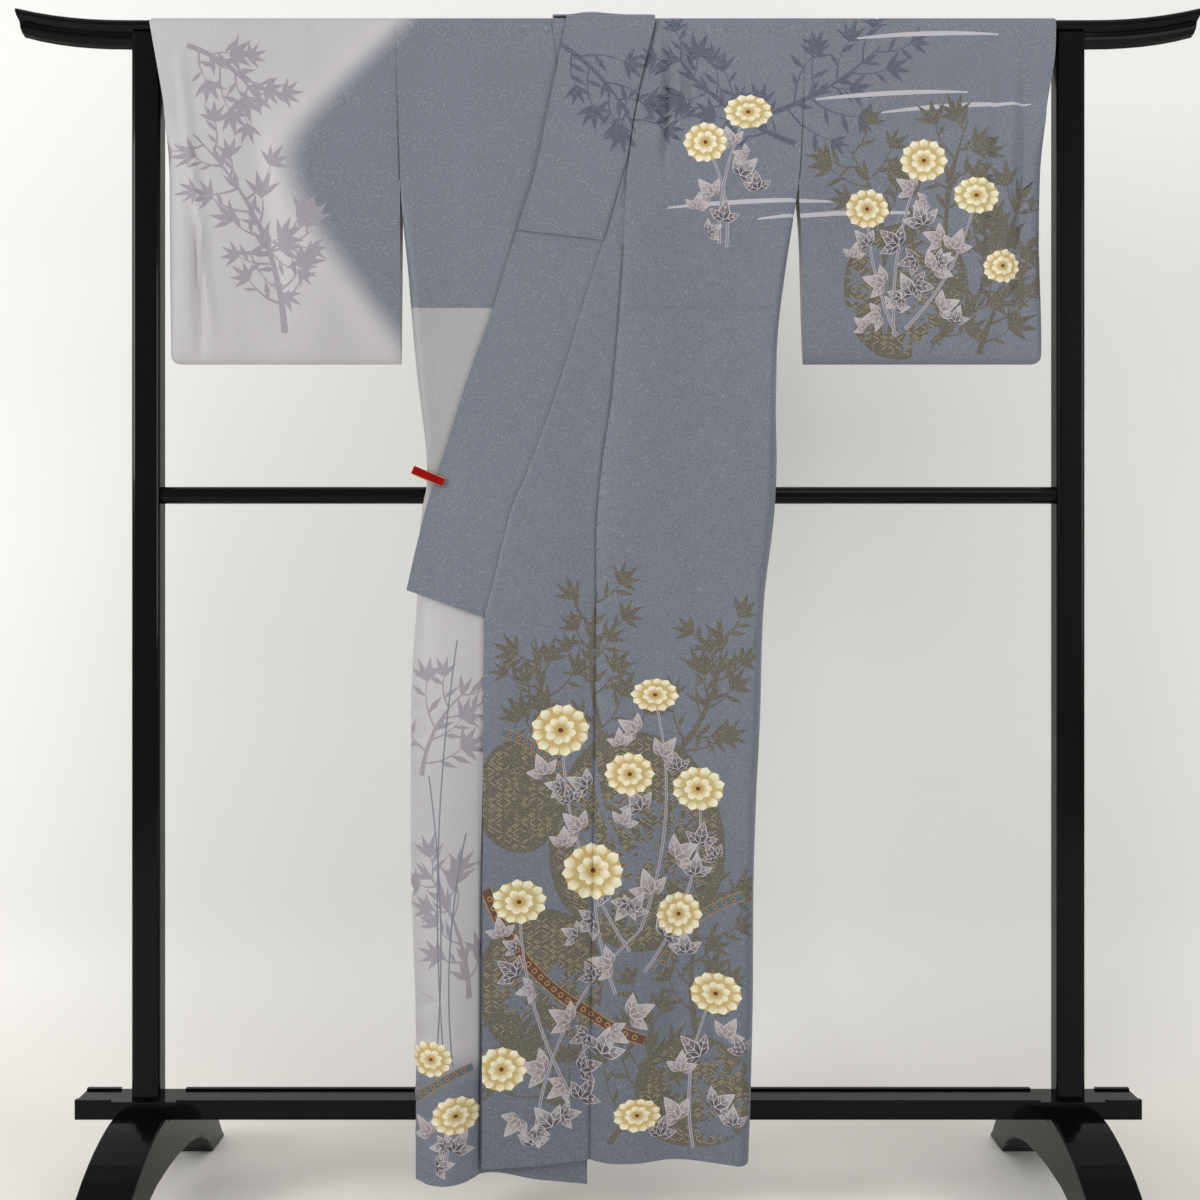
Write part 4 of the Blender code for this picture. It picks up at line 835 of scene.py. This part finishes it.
# Panels. Each is drawn flat in metres, cut along its motifs, then hung.
panel = {"spacing": 0.0072, "dip": 0.0046, "dipWidth": 0.0054, "edgeSteps": (0.0012, 0.0026, 0.0046),
         "stepsOver": 0.03, "flatter": 0.75, "flatterFrom": (1.5, 1.7), "rowGap": 0.0025,
         "weld": 0.00002, "sharpOver": 42, "overTuck": (-0.001, 0.014), "underTuck": (0.0006, 0.008),
         "freeEdge": 0.55}


def dense(corners, spacing):
    loop = []
    for corner, after in zip(corners, corners[1:] + corners[:1]):
        steps = max(int(math.dist(corner, after) / spacing), 1)
        loop += [blend(corner, after, k / steps) for k in range(steps)]
    return loop


def wound(loop):
    # the loop, always anticlockwise
    area = sum(a[0] * b[1] - b[0] * a[1] for a, b in zip(loop, loop[1:] + loop[:1]))
    return loop if area > 0.0 else loop[::-1]


def boxOf(loop):
    across, up = zip(*loop)
    return min(across), max(across), min(up), max(up)


def placed(name, mesh, *materials):
    # the bmesh becomes an object of the scene
    data = bpy.data.meshes.new(name)
    mesh.to_mesh(data)
    mesh.free()
    piece = bpy.data.objects.new(name, data)
    bpy.context.scene.collection.objects.link(piece)
    for material in materials:
        data.materials.append(material)
    return piece


def seamDip(away, z):
    # cloth sinks a little where it is sewn to its neighbour, less so near the rail
    near = max(1.0 - max(away, 0.0) / panel["dipWidth"], 0.0)
    return panel["dip"] * near * near * (1.0 - panel["flatter"] * smoothStep(*panel["flatterFrom"], z))


def tuckStep(z):
    # the cloth above the tuck stands just in front of the cloth below it
    away = z - cloth["tuck"]
    step, fade = panel["overTuck" if away >= 0.0 else "underTuck"]
    return step * math.exp(-abs(away) / fade)


def gridOver(edge, spacing, tall, rowsAt, fine):
    # points inside an outline: rows tall spacings apart and at the given heights, closer in the fine band
    lowZ, highZ = boxOf(edge)[2:]
    rows = int((highZ - lowZ) / (spacing * tall))
    levels = [mix(lowZ, highZ, row / rows) for row in range(1, rows)]
    levels = [z for z in levels if all(abs(z - at) > panel["rowGap"] for at in rowsAt)] + list(rowsAt)
    points = []
    for z in levels:
        crossed = sorted(mix(a[0], b[0], (z - a[1]) / (b[1] - a[1]))
                         for a, b in zip(edge, edge[1:] + edge[:1]) if (a[1] > z) != (b[1] > z))
        for left, right in zip(crossed[::2], crossed[1::2]):
            columns = max(int((right - left) / (spacing / 2 if fine[0] < z < fine[1] else spacing)), 2)
            points += [Vector((mix(left, right, k / columns), z)) for k in range(1, columns)]
            if right - left > panel["stepsOver"]:
                points += [Vector((left + step, z)) for step in panel["edgeSteps"]]
                points += [Vector((right - step, z)) for step in panel["edgeSteps"]]
    return points


def hungPanel(name, outline, place, wall, ground, motifs=(), toFlat=None, spacing=panel["spacing"],
              rowsAt=(), tall=1.0, fine=(0.0, 0.0)):
    edge = wound(dense(outline, spacing))
    lowX, highX, lowZ, highZ = boxOf(edge)
    points = [Vector(p) for p in edge] + gridOver(edge, spacing, tall, rowsAt, fine)
    loops, prints, reach = [list(range(len(edge)))], [], [None]
    for motif in motifs:
        loop = wound([toFlat(x, z) for x, z in motif["loop"]] if toFlat else motif["loop"])
        box = boxOf(loop)
        if box[1] < lowX or box[0] > highX or box[3] < lowZ or box[2] > highZ:
            continue
        loops.append(list(range(len(points), len(points) + len(loop))))
        points += [Vector(p) for p in loop]
        prints.append(motif)
        reach.append(box)
    spots, _, faces, _, _, owners = delaunay_2d_cdt(points, [], loops, 0, panel["weld"])
    mesh = bmesh.new()
    dyeLayer = mesh.loops.layers.float_color.new("dye")
    dustLayer = mesh.loops.layers.float.new("dust")
    flatLayer = mesh.loops.layers.uv.new("flat")
    hung = [place(*spot) for spot in spots]
    corners = [mesh.verts.new(point) for point in hung]
    for face, owner in zip(faces, owners):
        if 0 not in owner:
            continue
        # the print that lies uppermost at the middle of the face
        u, v = [sum(spots[k][axis] for k in face) / 3 for axis in (0, 1)]
        top = max(k for k in owner if k == 0 or reach[k][0] < u < reach[k][1] and reach[k][2] < v < reach[k][3])
        motif = prints[top - 1] if top and prints[top - 1]["printed"] > 0.0 else None
        made = mesh.faces.new([corners[k] for k in face])
        made.smooth = True
        for loop, k in zip(made.loops, face):
            x, _, z = hung[k]
            back = bool(toFlat) and spots[k][1] > rail["bend"] + bendLength / 2
            loop[dyeLayer] = (*motif["dye"](x, z), motif["printed"]) if motif else (*ground(x, z, back), 0.0)
            loop[dustLayer] = motif["dust"] if motif else 0.0
            loop[flatLayer].uv = spots[k]
    loose = [vertex for vertex in mesh.verts if not vertex.link_faces]
    bmesh.ops.delete(mesh, geom=loose, context="VERTS")
    if toFlat:  # a folded length: edges that meet become one before the wall is given its thickness
        bmesh.ops.remove_doubles(mesh, verts=mesh.verts[:], dist=panel["weld"])
    bmesh.ops.recalc_face_normals(mesh, faces=mesh.faces[:])
    if min(mesh.faces, key=lambda item: item.calc_center_median().y).normal.y > 0:
        bmesh.ops.reverse_faces(mesh, faces=mesh.faces[:])
    return walled(placed(name, mesh, silk, lining), wall, len(prints))


def walled(piece, wall, prints):
    thick = piece.modifiers.new("wall", "SOLIDIFY")
    thick.thickness, thick.offset = wall, 0.0
    thick.material_offset, thick.material_offset_rim = 1, 0
    graph = bpy.context.evaluated_depsgraph_get()
    data = bpy.data.meshes.new_from_object(piece.evaluated_get(graph), preserve_all_data_layers=True,
                                           depsgraph=graph)
    flat = piece.data
    piece.modifiers.clear()
    piece.data = data
    bpy.data.meshes.remove(flat)
    data.name = piece.name
    data.set_sharp_from_angle(angle=math.radians(panel["sharpOver"]))
    print("  hung", piece.name, len(data.polygons), "faces,", prints, "printed shapes")
    return piece


# The body halves: one length each from the front hem over the rail to the back hem.
bodyFlat = {"run": 0.205, "sideTurn": 0.034, "rowsTall": 2.5, "bendRows": 14, "gathersFrom": 1.49,
            "tuckRows": (-0.0045, -0.0007, 0.0007, 0.005), "leftTuck": 0.45, "backEase": (0.022, 0.1),
            "hemReach": 0.2, "leastTurn": 60.0}
bodyTop = rail["bend"] + bendLength
bodyEnd = bodyTop + rail["bend"] - cloth["hem"]


def bodyPanel(name, sign, table, neck, ground, motifs):
    run, width = bodyFlat["run"], bodyFlat["run"] + bodyFlat["sideTurn"]
    centreEdge = cloth["centreBack"] + sign * cloth["seamGap"] / 2
    toCentre = abs(neck - centreEdge)
    neckEnd = bodyTop + rail["bend"] - cloth["neckline"]
    tuckShare = 1.0 if sign < 0 else bodyFlat["leftTuck"]
    tuckRows = [cloth["tuck"] + off for off in bodyFlat["tuckRows"]]
    bendRows = [rail["bend"] + bendLength * k / bodyFlat["bendRows"] for k in range(bodyFlat["bendRows"] + 1)]
    gatherRows = [bodyFlat["gathersFrom"] + panel["spacing"] * k
                  for k in range(int((rail["bend"] - bodyFlat["gathersFrom"]) / panel["spacing"]))]

    def drop(x, z):
        return hemDrop(x, z) if sign < 0 else 0.0

    def lowered(x, z):
        middle = cloth["centreBack"]
        return z + drop(x, z) * smoothStep(middle, middle + sign * bodyFlat["hemReach"], x)

    def bendX(share):
        turn, outer = sideOf(sign, rail["bend"])[:2]
        return mix(neck, turn, share) if share <= 1.0 else mix(turn, outer, share - 1.0)

    def place(u, v):
        runShare = min(max(u / run, 0.0), 1.0)
        turnShare = min(max((u - run) / (width - run), 0.0), 1.0)
        if rail["bend"] < v < bodyTop:
            swing = math.sin(math.pi / 2 * turnShare)
            return overRail(bendX(runShare + swing), v)
        if v <= rail["bend"]:
            z = v
            if turnShare == 0.0:
                start = through(table, z, "okumiSeam") + sign * cloth["seamGap"]
                x = mix(start, through(table, z, "turn"), runShare)
                y = frontDepth(sign, x, z) + seamDip(u, z) + tuckStep(z) * tuckShare
                return Vector((x, y, z + drop(x, z)))
            side = sideOf(sign, z)
            angle = through(table, z, "seamAngle") * turnShare
            x, y = turnPoint(side, angle, side[2], through(sideSlit, z, "closed"))
            return Vector((x, y, lowered(x, z)))
        z = rail["bend"] - (v - bodyTop)
        side = sideOf(sign, z)
        turn, back = side[0], side[3]
        if turnShare > 0.0:
            angle = mix(180.0, through(table, z, "seamAngle"), turnShare)
            x, y = turnPoint(side, angle, back, through(sideSlit, z, "closed"))
            return Vector((x, y, lowered(x, z)))
        x = mix(neck, turn, u / run) if u >= 0.0 else mix(neck, centreEdge, -u / toCentre)
        ease = smoothStep(*bodyFlat["backEase"], abs(x - turn))
        dip = seamDip(u + toCentre, z) + tuckStep(z) * tuckShare
        return Vector((x, mix(back, backDepth(x, z), ease) - dip, lowered(x, z)))

    def toFlat(x, z):
        start, turn = through(table, z, "okumiSeam"), through(table, z, "turn")
        share = (x - start) / (turn - start)
        if share <= 1.0:
            return share * run, z - drop(x, z)
        outer = through(table, z, "outer")
        swing = math.degrees(math.asin(min((x - turn) / (outer - turn), 1.0)))
        past = max((x - outer) * sign, 0.0)
        full = max(through(table, z, "seamAngle"), bodyFlat["leastTurn"])
        return run + swing / full * (width - run) + past, z - drop(x, z)

    outline = [(0.0, cloth["hem"]), (width, cloth["hem"]), (width, bodyEnd), (-toCentre, bodyEnd),
               (-toCentre, neckEnd), (0.0, neckEnd)]
    return hungPanel(name, outline, place, cloth["silkWall"], ground, motifs, toFlat,
                     rowsAt=tuckRows + bendRows + gatherRows + [bodyTop + rail["bend"] - z for z in tuckRows],
                     tall=bodyFlat["rowsTall"], fine=(bodyFlat["gathersFrom"], rail["bend"]))


# The overlap panels.
def leftSeamX(z):
    if z > cloth["kensaki"]:
        return through(leftFront, z, "okumiSeam")
    return through(leftCollarSeam, z, "x")


def heightsBetween(low, high, step=0.012):
    count = max(int((high - low) / step), 1)
    return [mix(low, high, k / count) for k in range(count + 1)]


def okumiPanel(name, table, side, freeX, place, motifs=()):
    # side is where the panel lies from its seam: -1 towards the wearer's right
    gap = cloth["seamGap"] * side
    heights = heightsBetween(cloth["hem"], cloth["okumiTop"])
    seam = [(through(table, z, "okumiSeam") + gap, z) for z in heights]
    free = [(freeX(z) - gap, z) for z in heights]
    outline = free[::-1] + seam if side < 0 else seam[::-1] + free
    return hungPanel(name, outline, place, cloth["silkWall"], plainBlue, motifs)


def okumiLeftPlace(x, z):
    toSeam = through(leftFront, z, "okumiSeam") - x
    toCollar = x - leftSeamX(z) if z > cloth["collarEnd"] else 1.0
    dip = max(seamDip(toSeam, z), panel["freeEdge"] * seamDip(toCollar, z))
    return Vector((x, outerFront(x, z) + dip, z))


# The collar: ribbons that start on top of the rail and run down the fronts.
def leftRibbon(seamZ, across):
    run = (rail["bend"] - seamZ) / (rail["bend"] - cloth["collarEnd"])
    freeZ = mix(rail["bend"], cloth["collarEndFree"], run)
    seamX = leftSeamX(seamZ) - cloth["seamGap"]
    return mix(seamX, through(leftCollarFree, freeZ, "x"), across), mix(seamZ, freeZ, across)


def rightRibbon(z, across):
    seam = through(rightFront, z, "okumiSeam")
    seam += through(okumiTaper, z, "width") if z < cloth["kensaki"] else 0.0
    return seam + cloth["seamGap"] + cloth["collarWidth"] * across, z


collarOver = 0.36  # how far over the rail the ribbons start, as a share of the bend
collarLift = 0.0026


def ribbonPanel(name, point, depth, wall, lift, end, motifs=()):
    reach = collarOver * bendLength
    heights = heightsBetween(end, rail["bend"])
    seam = [point(z, 0.0) for z in heights]
    free = [point(z, 1.0) for z in heights]
    top = rail["bend"] + reach
    outline = seam + [(seam[-1][0], top), (free[-1][0], top)] + free[::-1]

    def place(x, v):
        if v > rail["bend"]:
            return overRail(x, v, lift)
        return Vector((x, depth(x, v) + panel["freeEdge"] * seamDip(abs(seamAt(v) - x), v), v))

    def seamAt(v):
        at = min(max((v - end) / (rail["bend"] - end), 0.0), 1.0) * (len(seam) - 1)
        low = min(int(at), len(seam) - 2)
        return mix(seam[low][0], seam[low + 1][0], at - low)

    return hungPanel(name, outline, place, wall, plainBlue, motifs)


overcollarLift = (cloth["collarWall"] + cloth["silkWall"]) / 2 + cloth["seamGap"]

collarBackFlat = {"length": 0.056, "inset": 0.0011, "spacing": 0.004}
collarBackRun = {
    "y": (0.0195, 0.0203, 0.0192, 0.0145, 0.007, -0.002, -0.0098),
    "low": (1.7092, 1.72, 1.73, 1.7368, 1.7388, 1.7392, 1.7381),
    "high": (1.7092, 1.721, 1.7335, 1.7428, 1.7468, 1.7458, 1.7384),
}
collarHump = {
    "x": (-0.08, -0.055, -0.03, 0.0, 0.03, 0.066),
    "share": (0.1, 0.45, 1.0, 0.7, 0.3, 0.1),
}


def collarBackPanel():
    length, inset = collarBackFlat["length"], collarBackFlat["inset"]
    low, high = cloth["neckRight"] + inset, cloth["neckLeft"] - inset

    def place(x, v):
        step = min(max(v / length, 0.0), 0.99999) * (len(collarBackRun["y"]) - 1)
        index = int(step)
        y, bottom, top = [mix(collarBackRun[c][index], collarBackRun[c][index + 1], step - index)
                          for c in ("y", "low", "high")]
        return Vector((x, y, mix(bottom, top, through(collarHump, x, "share", "x"))))

    outline = [(low, 0.0), (high, 0.0), (high, length), (low, length)]
    return hungPanel("collarBack", outline, place, cloth["collarWall"], plainBlue,
                     spacing=collarBackFlat["spacing"])


# The sleeves: one folded length each, from the bottom seam up, over the rail and down again.
sleeveFlat = {"spacing": 0.0054, "width": 0.335, "roll": 0.042, "fold": 0.018, "foldRise": 0.012,
              "cuffReach": 0.6, "jointReach": 0.3, "jointFrom": 1.44, "creaseReach": 0.1, "dip": 0.6,
              "openAbove": 1.6}


def sleevePanel(name, sign, edges, ground, motifs):
    roll, edgeRoll = sleeveFlat["roll"], sleeveShape["edgeRoll"]
    width = sleeveFlat["width"] - edgeRoll + roll
    flatLow = sleeveShape["bottom"] + sleeveFlat["foldRise"] - sleeveFlat["fold"]
    flatHigh = bodyTop + rail["bend"] - flatLow

    def outlineAt(z):
        seam = sideOf(sign, z)[1] if z >= cloth["armhole"] else through(edges, z, "inner")
        outer = through(edges, z, "outer")
        rise = min((z - sleeveShape["bottom"]) / sleeveShape["corner"], 1.0)
        outer -= sign * sleeveShape["corner"] * (1.0 - math.sqrt(max(1.0 - (1.0 - rise) ** 2, 0.0)))
        return seam + sign * cloth["seamGap"], outer

    def across(u, inner, outer):
        # x, and how near the point is to the rolled outer edge
        if u <= width - roll:
            return mix(inner, outer - sign * edgeRoll, u / (width - roll)), 0.0
        near = math.sin(math.pi / 2 * (u - width + roll) / roll)
        return outer - sign * edgeRoll * (1.0 - near), near

    def heightOf(v):
        low = sleeveShape["bottom"]
        if v < low + sleeveFlat["foldRise"]:
            share = max((v - flatLow) / sleeveFlat["fold"], 0.0)
            return low + sleeveFlat["foldRise"] * share ** 1.5
        return v

    def place(u, v):
        if rail["bend"] < v < bodyTop:
            inner, outer = outlineAt(rail["bend"])
            return overRail(across(u, inner, outer)[0], v)
        onBack = v >= bodyTop
        z = heightOf(rail["bend"] - (v - bodyTop) if onBack else v)
        inner, outer = outlineAt(z)
        x, near = across(u, inner, outer)
        share = (x - inner) / (outer - inner)
        front = through(sleeveLayers, z, "front")
        byCuff = smoothStep(0.0, sleeveFlat["cuffReach"], share)
        back = mix(through(sleeveLayers, z, "back"), through(sleeveLayers, z, "backAtCuff"), byCuff)
        joint = (smoothStep(sleeveFlat["jointReach"], 0.0, share)
                 * smoothStep(sleeveFlat["jointFrom"], cloth["armhole"], z))
        side = sideOf(sign, z)
        front, back = mix(front, side[2], joint), mix(back, side[3], joint)
        front += creaseDepth("sleeve", x, z) * (1.0 - near) * smoothStep(0.0, sleeveFlat["creaseReach"], share)
        if z > cloth["armhole"]:
            front += sleeveFlat["dip"] * seamDip(u, z)
            back -= sleeveFlat["dip"] * seamDip(u, z)
        parted = mix(math.sqrt(max(1.0 - near * near, 0.0)), 1.0,
                     smoothStep(sleeveShape["cuffBottom"], sleeveFlat["openAbove"], z))
        return Vector((x, mix((front + back) / 2, back if onBack else front, parted), z))

    def toFlat(x, z):
        inner, outer = outlineAt(z)
        edge = outer - sign * edgeRoll
        share = (x - inner) / (edge - inner)
        if share <= 1.0:
            return share * (width - roll), z
        return width - roll + abs(x - edge) / edgeRoll * roll, z

    outline = [(0.0, flatLow), (width, flatLow), (width, flatHigh), (0.0, flatHigh)]
    return hungPanel(name, outline, place, cloth["silkWall"], ground, motifs, toFlat, sleeveFlat["spacing"])


front, shoulder = drawn("shoulder") + drawn("lowerFront"), drawn("shoulder")
thick, thin = cloth["collarWall"], cloth["silkWall"]
pieces = (
    bodyPanel("bodyLeft", 1.0, leftFront, cloth["neckLeft"], plainBlue, front),
    bodyPanel("bodyRight", -1.0, rightFront, cloth["neckRight"], rightBodyGround, drawn("roll")),
    okumiPanel("okumiLeft", leftFront, -1, leftSeamX, okumiLeftPlace, front),
    okumiPanel("okumiRight", rightFront, 1,
               lambda z: through(rightFront, z, "okumiSeam") + through(okumiTaper, z, "width"),
               lambda x, z: Vector((x, innerFront(x, z), z + hemDrop(x, z)))),
    ribbonPanel("collarLeft", leftRibbon, outerFront, thick, collarLift, cloth["collarEnd"]),
    ribbonPanel("overcollarLeft", leftRibbon, lambda x, z: outerFront(x, z) - overcollarLift, thin,
                collarLift + overcollarLift, cloth["overcollarEnd"], front),
    ribbonPanel("collarRight", rightRibbon, innerFront, thick, 0.0, cloth["collarEnd"]),
    collarBackPanel(),
    sleevePanel("sleeveLeft", 1.0, leftSleeve, plainBlue, shoulder + drawn("leftSleeve")),
    sleevePanel("sleeveRight", -1.0, rightSleeve, wedgeDye, drawn("rightSleeve")),
)
print("stage 3: cloth hung,", sum(len(piece.data.polygons) for piece in pieces), "faces")


# Basting stitches that hold the tuck of the inner front.
stitchRow = {"from": -0.214, "to": -0.172, "count": 5, "length": 0.0036, "width": 0.0007, "proud": 0.0013,
             "above": 0.0012, "uneven": 0.0005, "tilt": 0.12}


def makeStitches():
    material, tree, shader = newMaterial("bastingThread")
    twist = objectNoise(tree, 2600.0, 1.0, (1.0, 0.3, 0.3))
    feed(tree, shader, {
        "Base Color": tinted(tree, "MIX", twist, tone(238, 234, 226), tone(214, 208, 198)),
        "Roughness": mapped(tree, twist, 0.0, 1.0, 0.6, 0.8), "Normal": bumpFrom(tree, twist, 0.4, 0.0002),
    })
    mesh, s = bmesh.new(), stitchRow
    for k in range(s["count"]):
        x = mix(s["from"], s["to"], k / (s["count"] - 1))
        z = cloth["tuck"] + s["above"] + s["uneven"] * math.sin(k * 2.3)
        y = frontDepth(-1, x, z) - s["proud"]
        turn = Matrix.Rotation(s["tilt"] * math.sin(k * 1.7), 4, "Y")
        size = Matrix.Diagonal((s["length"] / 2, s["width"] / 2, s["width"] / 2, 1.0))
        bmesh.ops.create_icosphere(mesh, subdivisions=2, radius=1.0,
                                   matrix=Matrix.Translation((x, y, z)) @ turn @ size)
    for face in mesh.faces:
        face.smooth = True
    return placed("tuckStitches", mesh, material)


stitches = makeStitches()


# The stand keeps its solids and gets polished black lacquer.
lacquerLook = {"black": ((0.0016, 0.0015, 0.0018), (0.0032, 0.0029, 0.003)), "dust": (0.1, 0.1, 0.1),
               "dusty": 0.16, "roughness": (0.13, 0.22), "coat": 0.12, "coatRough": 0.05, "specular": 0.07}


def makeLacquer():
    material, tree, shader = newMaterial("blackLacquer")
    look = lacquerLook
    flow = objectNoise(tree, 7.0, 4.0, (1.0, 1.0, 0.25))
    grime = counted(tree, "MULTIPLY", mapped(tree, objectNoise(tree, 950.0, 1.0), 0.66, 0.74), look["dusty"])
    worn = mapped(tree, flow, 0.3, 0.7, *look["roughness"])
    feed(tree, shader, {
        "Base Color": tinted(tree, "MIX", grime, tinted(tree, "MIX", flow, *look["black"]), look["dust"]),
        "Roughness": counted(tree, "ADD", worn, counted(tree, "MULTIPLY", grime, 1.5)),
        "Coat Weight": look["coat"], "Coat Roughness": look["coatRough"],
        "Specular IOR Level": look["specular"],
        "Normal": bumpFrom(tree, objectNoise(tree, 38.0, 2.0, (1.0, 1.0, 0.5)), 0.1, 0.0008),
    })
    return material


# The clip: red enamel with a gilt rim round its face.
clipLook = {"centre": (-0.2565, 0.0, 1.0635), "slope": math.radians(23.0), "half": (0.0245, 0.00625),
            "rim": 0.0006, "rimEdge": 0.00008, "red": (tone(146, 4, 8), tone(116, 2, 5)),
            "gilt": tone(206, 160, 92), "roughness": (0.14, 0.26), "coat": 0.06, "specular": 0.14}


def makeEnamel():
    material, tree, shader = newMaterial("redEnamel")
    look = clipLook
    place = added(tree, "TexCoord", {})["Object"]
    place = added(tree, "VectorMath", {0: place, 1: look["centre"]}, operation="SUBTRACT")["Vector"]
    level = added(tree, "VectorRotate", {"Vector": place, "Angle": -look["slope"]}, rotation_type="Y_AXIS")
    split = added(tree, "SeparateXYZ", {"Vector": level["Vector"]})
    ends, sides = [counted(tree, "SUBTRACT", counted(tree, "ABSOLUTE", split[axis]), half - look["rim"])
                   for axis, half in zip("XZ", look["half"])]
    rim = mapped(tree, counted(tree, "MAXIMUM", ends, sides), -look["rimEdge"], look["rimEdge"])
    cloudy = objectNoise(tree, 160.0, 3.0)
    feed(tree, shader, {
        "Base Color": tinted(tree, "MIX", rim, tinted(tree, "MIX", cloudy, *look["red"]), look["gilt"]),
        "Metallic": rim,
        "Roughness": counted(tree, "ADD", mapped(tree, rim, 0.0, 1.0, *look["roughness"]),
                             counted(tree, "MULTIPLY", cloudy, 0.08)),
        "Coat Weight": look["coat"], "Specular IOR Level": look["specular"],
        "Normal": bumpFrom(tree, cloudy, 0.08, 0.0004),
    })
    return material


stand = ("rail", "upright_right", "upright_left", "crossbar", "beam", "foot_right", "foot_left")
for finish, nodes in ((makeLacquer(), stand), (makeEnamel(), ("clip",))):
    for node in nodes:
        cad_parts[node].data.materials.clear()
        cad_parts[node].data.materials.append(finish)
print("stage 4: stand and clip finished")


# What stands for which solid, the slot of its finish, the flat size that it was cut to, and its area
# where that isn't a full rectangle.
cut = {
    "bodyLeft": ("body_left", "silk_body_left", (0.3, 3.4), 0.8),
    "bodyRight": ("body_right", "silk_body_right", (0.3, 3.4), 0.8),
    "okumiLeft": ("okumi_left", "silk_okumi_left", (0.16, 1.42), 0.174),
    "okumiRight": ("okumi_right", "silk_okumi_right", (0.16, 1.42), 0.174),
    "sleeveLeft": ("sleeve_left", "silk_sleeve_left", (0.36, 1.02), None),
    "sleeveRight": ("sleeve_right", "silk_sleeve_right", (0.36, 1.02), None),
    "collarLeft": ("collar_left", "silk_collar", (0.13, 0.92), 0.11),
    "overcollarLeft": ("overcollar_left", "silk_collar", (0.13, 0.36), 0.042),
    "collarRight": ("collar_right", "silk_collar", (0.12, 0.88), 0.1),
    "collarBack": ("collar_back", "silk_collar", (0.15, 0.06), None),
}
for piece in pieces:
    name = piece.name
    node, slot, flat, area = cut[name]
    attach(piece, "root")
    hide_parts(node)
    surface = sum(face.area for face in piece.data.polygons) / 2
    triangles = sum(len(face.vertices) - 2 for face in piece.data.polygons)
    print("  sheet", name, "area", round(surface, 4), "triangles", triangles)
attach(stitches, "root")


# Floor and backdrop. From behind the backdrop can be seen through.
stageLook = {"floorHalf": 7.0, "coveStart": 0.34, "coveRadius": 0.3, "lift": 0.0006, "wallTop": 4.2,
             "wallHalf": 5.0, "steps": 14, "floor": tone(238, 235, 228), "wall": tone(232, 231, 227),
             "blendTo": 0.35, "roughness": 0.55}


def makePaper(name, oneSided=False):
    paper, tree, shader = newMaterial(name)
    rise = added(tree, "SeparateXYZ", {"Vector": added(tree, "TexCoord", {})["Object"]})["Z"]
    share = mapped(tree, rise, 0.0, stageLook["blendTo"])
    feed(tree, shader, {"Base Color": tinted(tree, "MIX", share, stageLook["floor"], stageLook["wall"]),
                        "Roughness": stageLook["roughness"]})
    if oneSided:
        facing = added(tree, "NewGeometry", {})["Backfacing"]
        feed(tree, shader, {"Alpha": counted(tree, "SUBTRACT", 1.0, facing)})
    return paper


def makeStage():
    mesh, look = bmesh.new(), stageLook
    bmesh.ops.create_grid(mesh, x_segments=2, y_segments=2, size=look["floorHalf"])
    placed("floor", mesh, makePaper("studioPaper"))
    mesh, radius, wide = bmesh.new(), look["coveRadius"], look["wallHalf"]
    angles = [math.pi / 2 * step / look["steps"] for step in range(look["steps"] + 1)]
    start = look["coveStart"]
    line = [(start + radius * math.sin(a), look["lift"] + radius * (1.0 - math.cos(a))) for a in angles]
    line.append((start + radius, look["wallTop"]))
    columns = [[mesh.verts.new((x, y, z)) for y, z in line] for x in (-wide, wide)]
    for k in range(len(line) - 1):
        mesh.faces.new((columns[0][k], columns[1][k], columns[1][k + 1], columns[0][k + 1])).smooth = True
    placed("backdrop", mesh, makePaper("studioWall", True))


makeStage()


# Camera and soft light.
studio = {
    "lens": 41.64, "sensor": 36.0, "camera": (-0.012, -2.03, 0.887), "sky": (0.95, 0.96, 1.0, 1.0),
    "skyPower": 0.43,
    "softboxes": (  # place, aim, size and power
        ((-2.9, -2.0, 1.9), (0.1, 0.0, 0.8), 1.2, 70.0),
        ((2.6, -2.6, 1.5), (0.1, 0.0, 0.6), 1.6, 40.0),
        ((0.5, -1.6, 3.3), (0.4, 0.2, 0.0), 2.0, 22.0),
    ),
}


def stood(name, data, place, turn):
    thing = bpy.data.objects.new(name, data)
    thing.location, thing.rotation_euler = place, turn
    bpy.context.scene.collection.objects.link(thing)
    return thing


def makeStudio():
    data = bpy.data.cameras.new("camera")
    data.lens, data.sensor_width = studio["lens"], studio["sensor"]
    bpy.context.scene.camera = stood("camera", data, studio["camera"], (math.pi / 2, 0.0, 0.0))
    for index, (place, aim, size, power) in enumerate(studio["softboxes"]):
        data = bpy.data.lights.new("softbox" + str(index + 1), "AREA")
        data.shape, data.size, data.energy = "SQUARE", size, power
        stood(data.name, data, place, (Vector(aim) - Vector(place)).to_track_quat("-Z", "Y").to_euler())
    world = bpy.data.worlds.new("studio")
    world.use_nodes = True
    feed(world.node_tree, world.node_tree.nodes["Background"],
         {"Color": studio["sky"], "Strength": studio["skyPower"]})
    bpy.context.scene.world = world
    bpy.context.scene.view_settings.view_transform = "Standard"


makeStudio()
print("stage 5: stage, camera and light set")
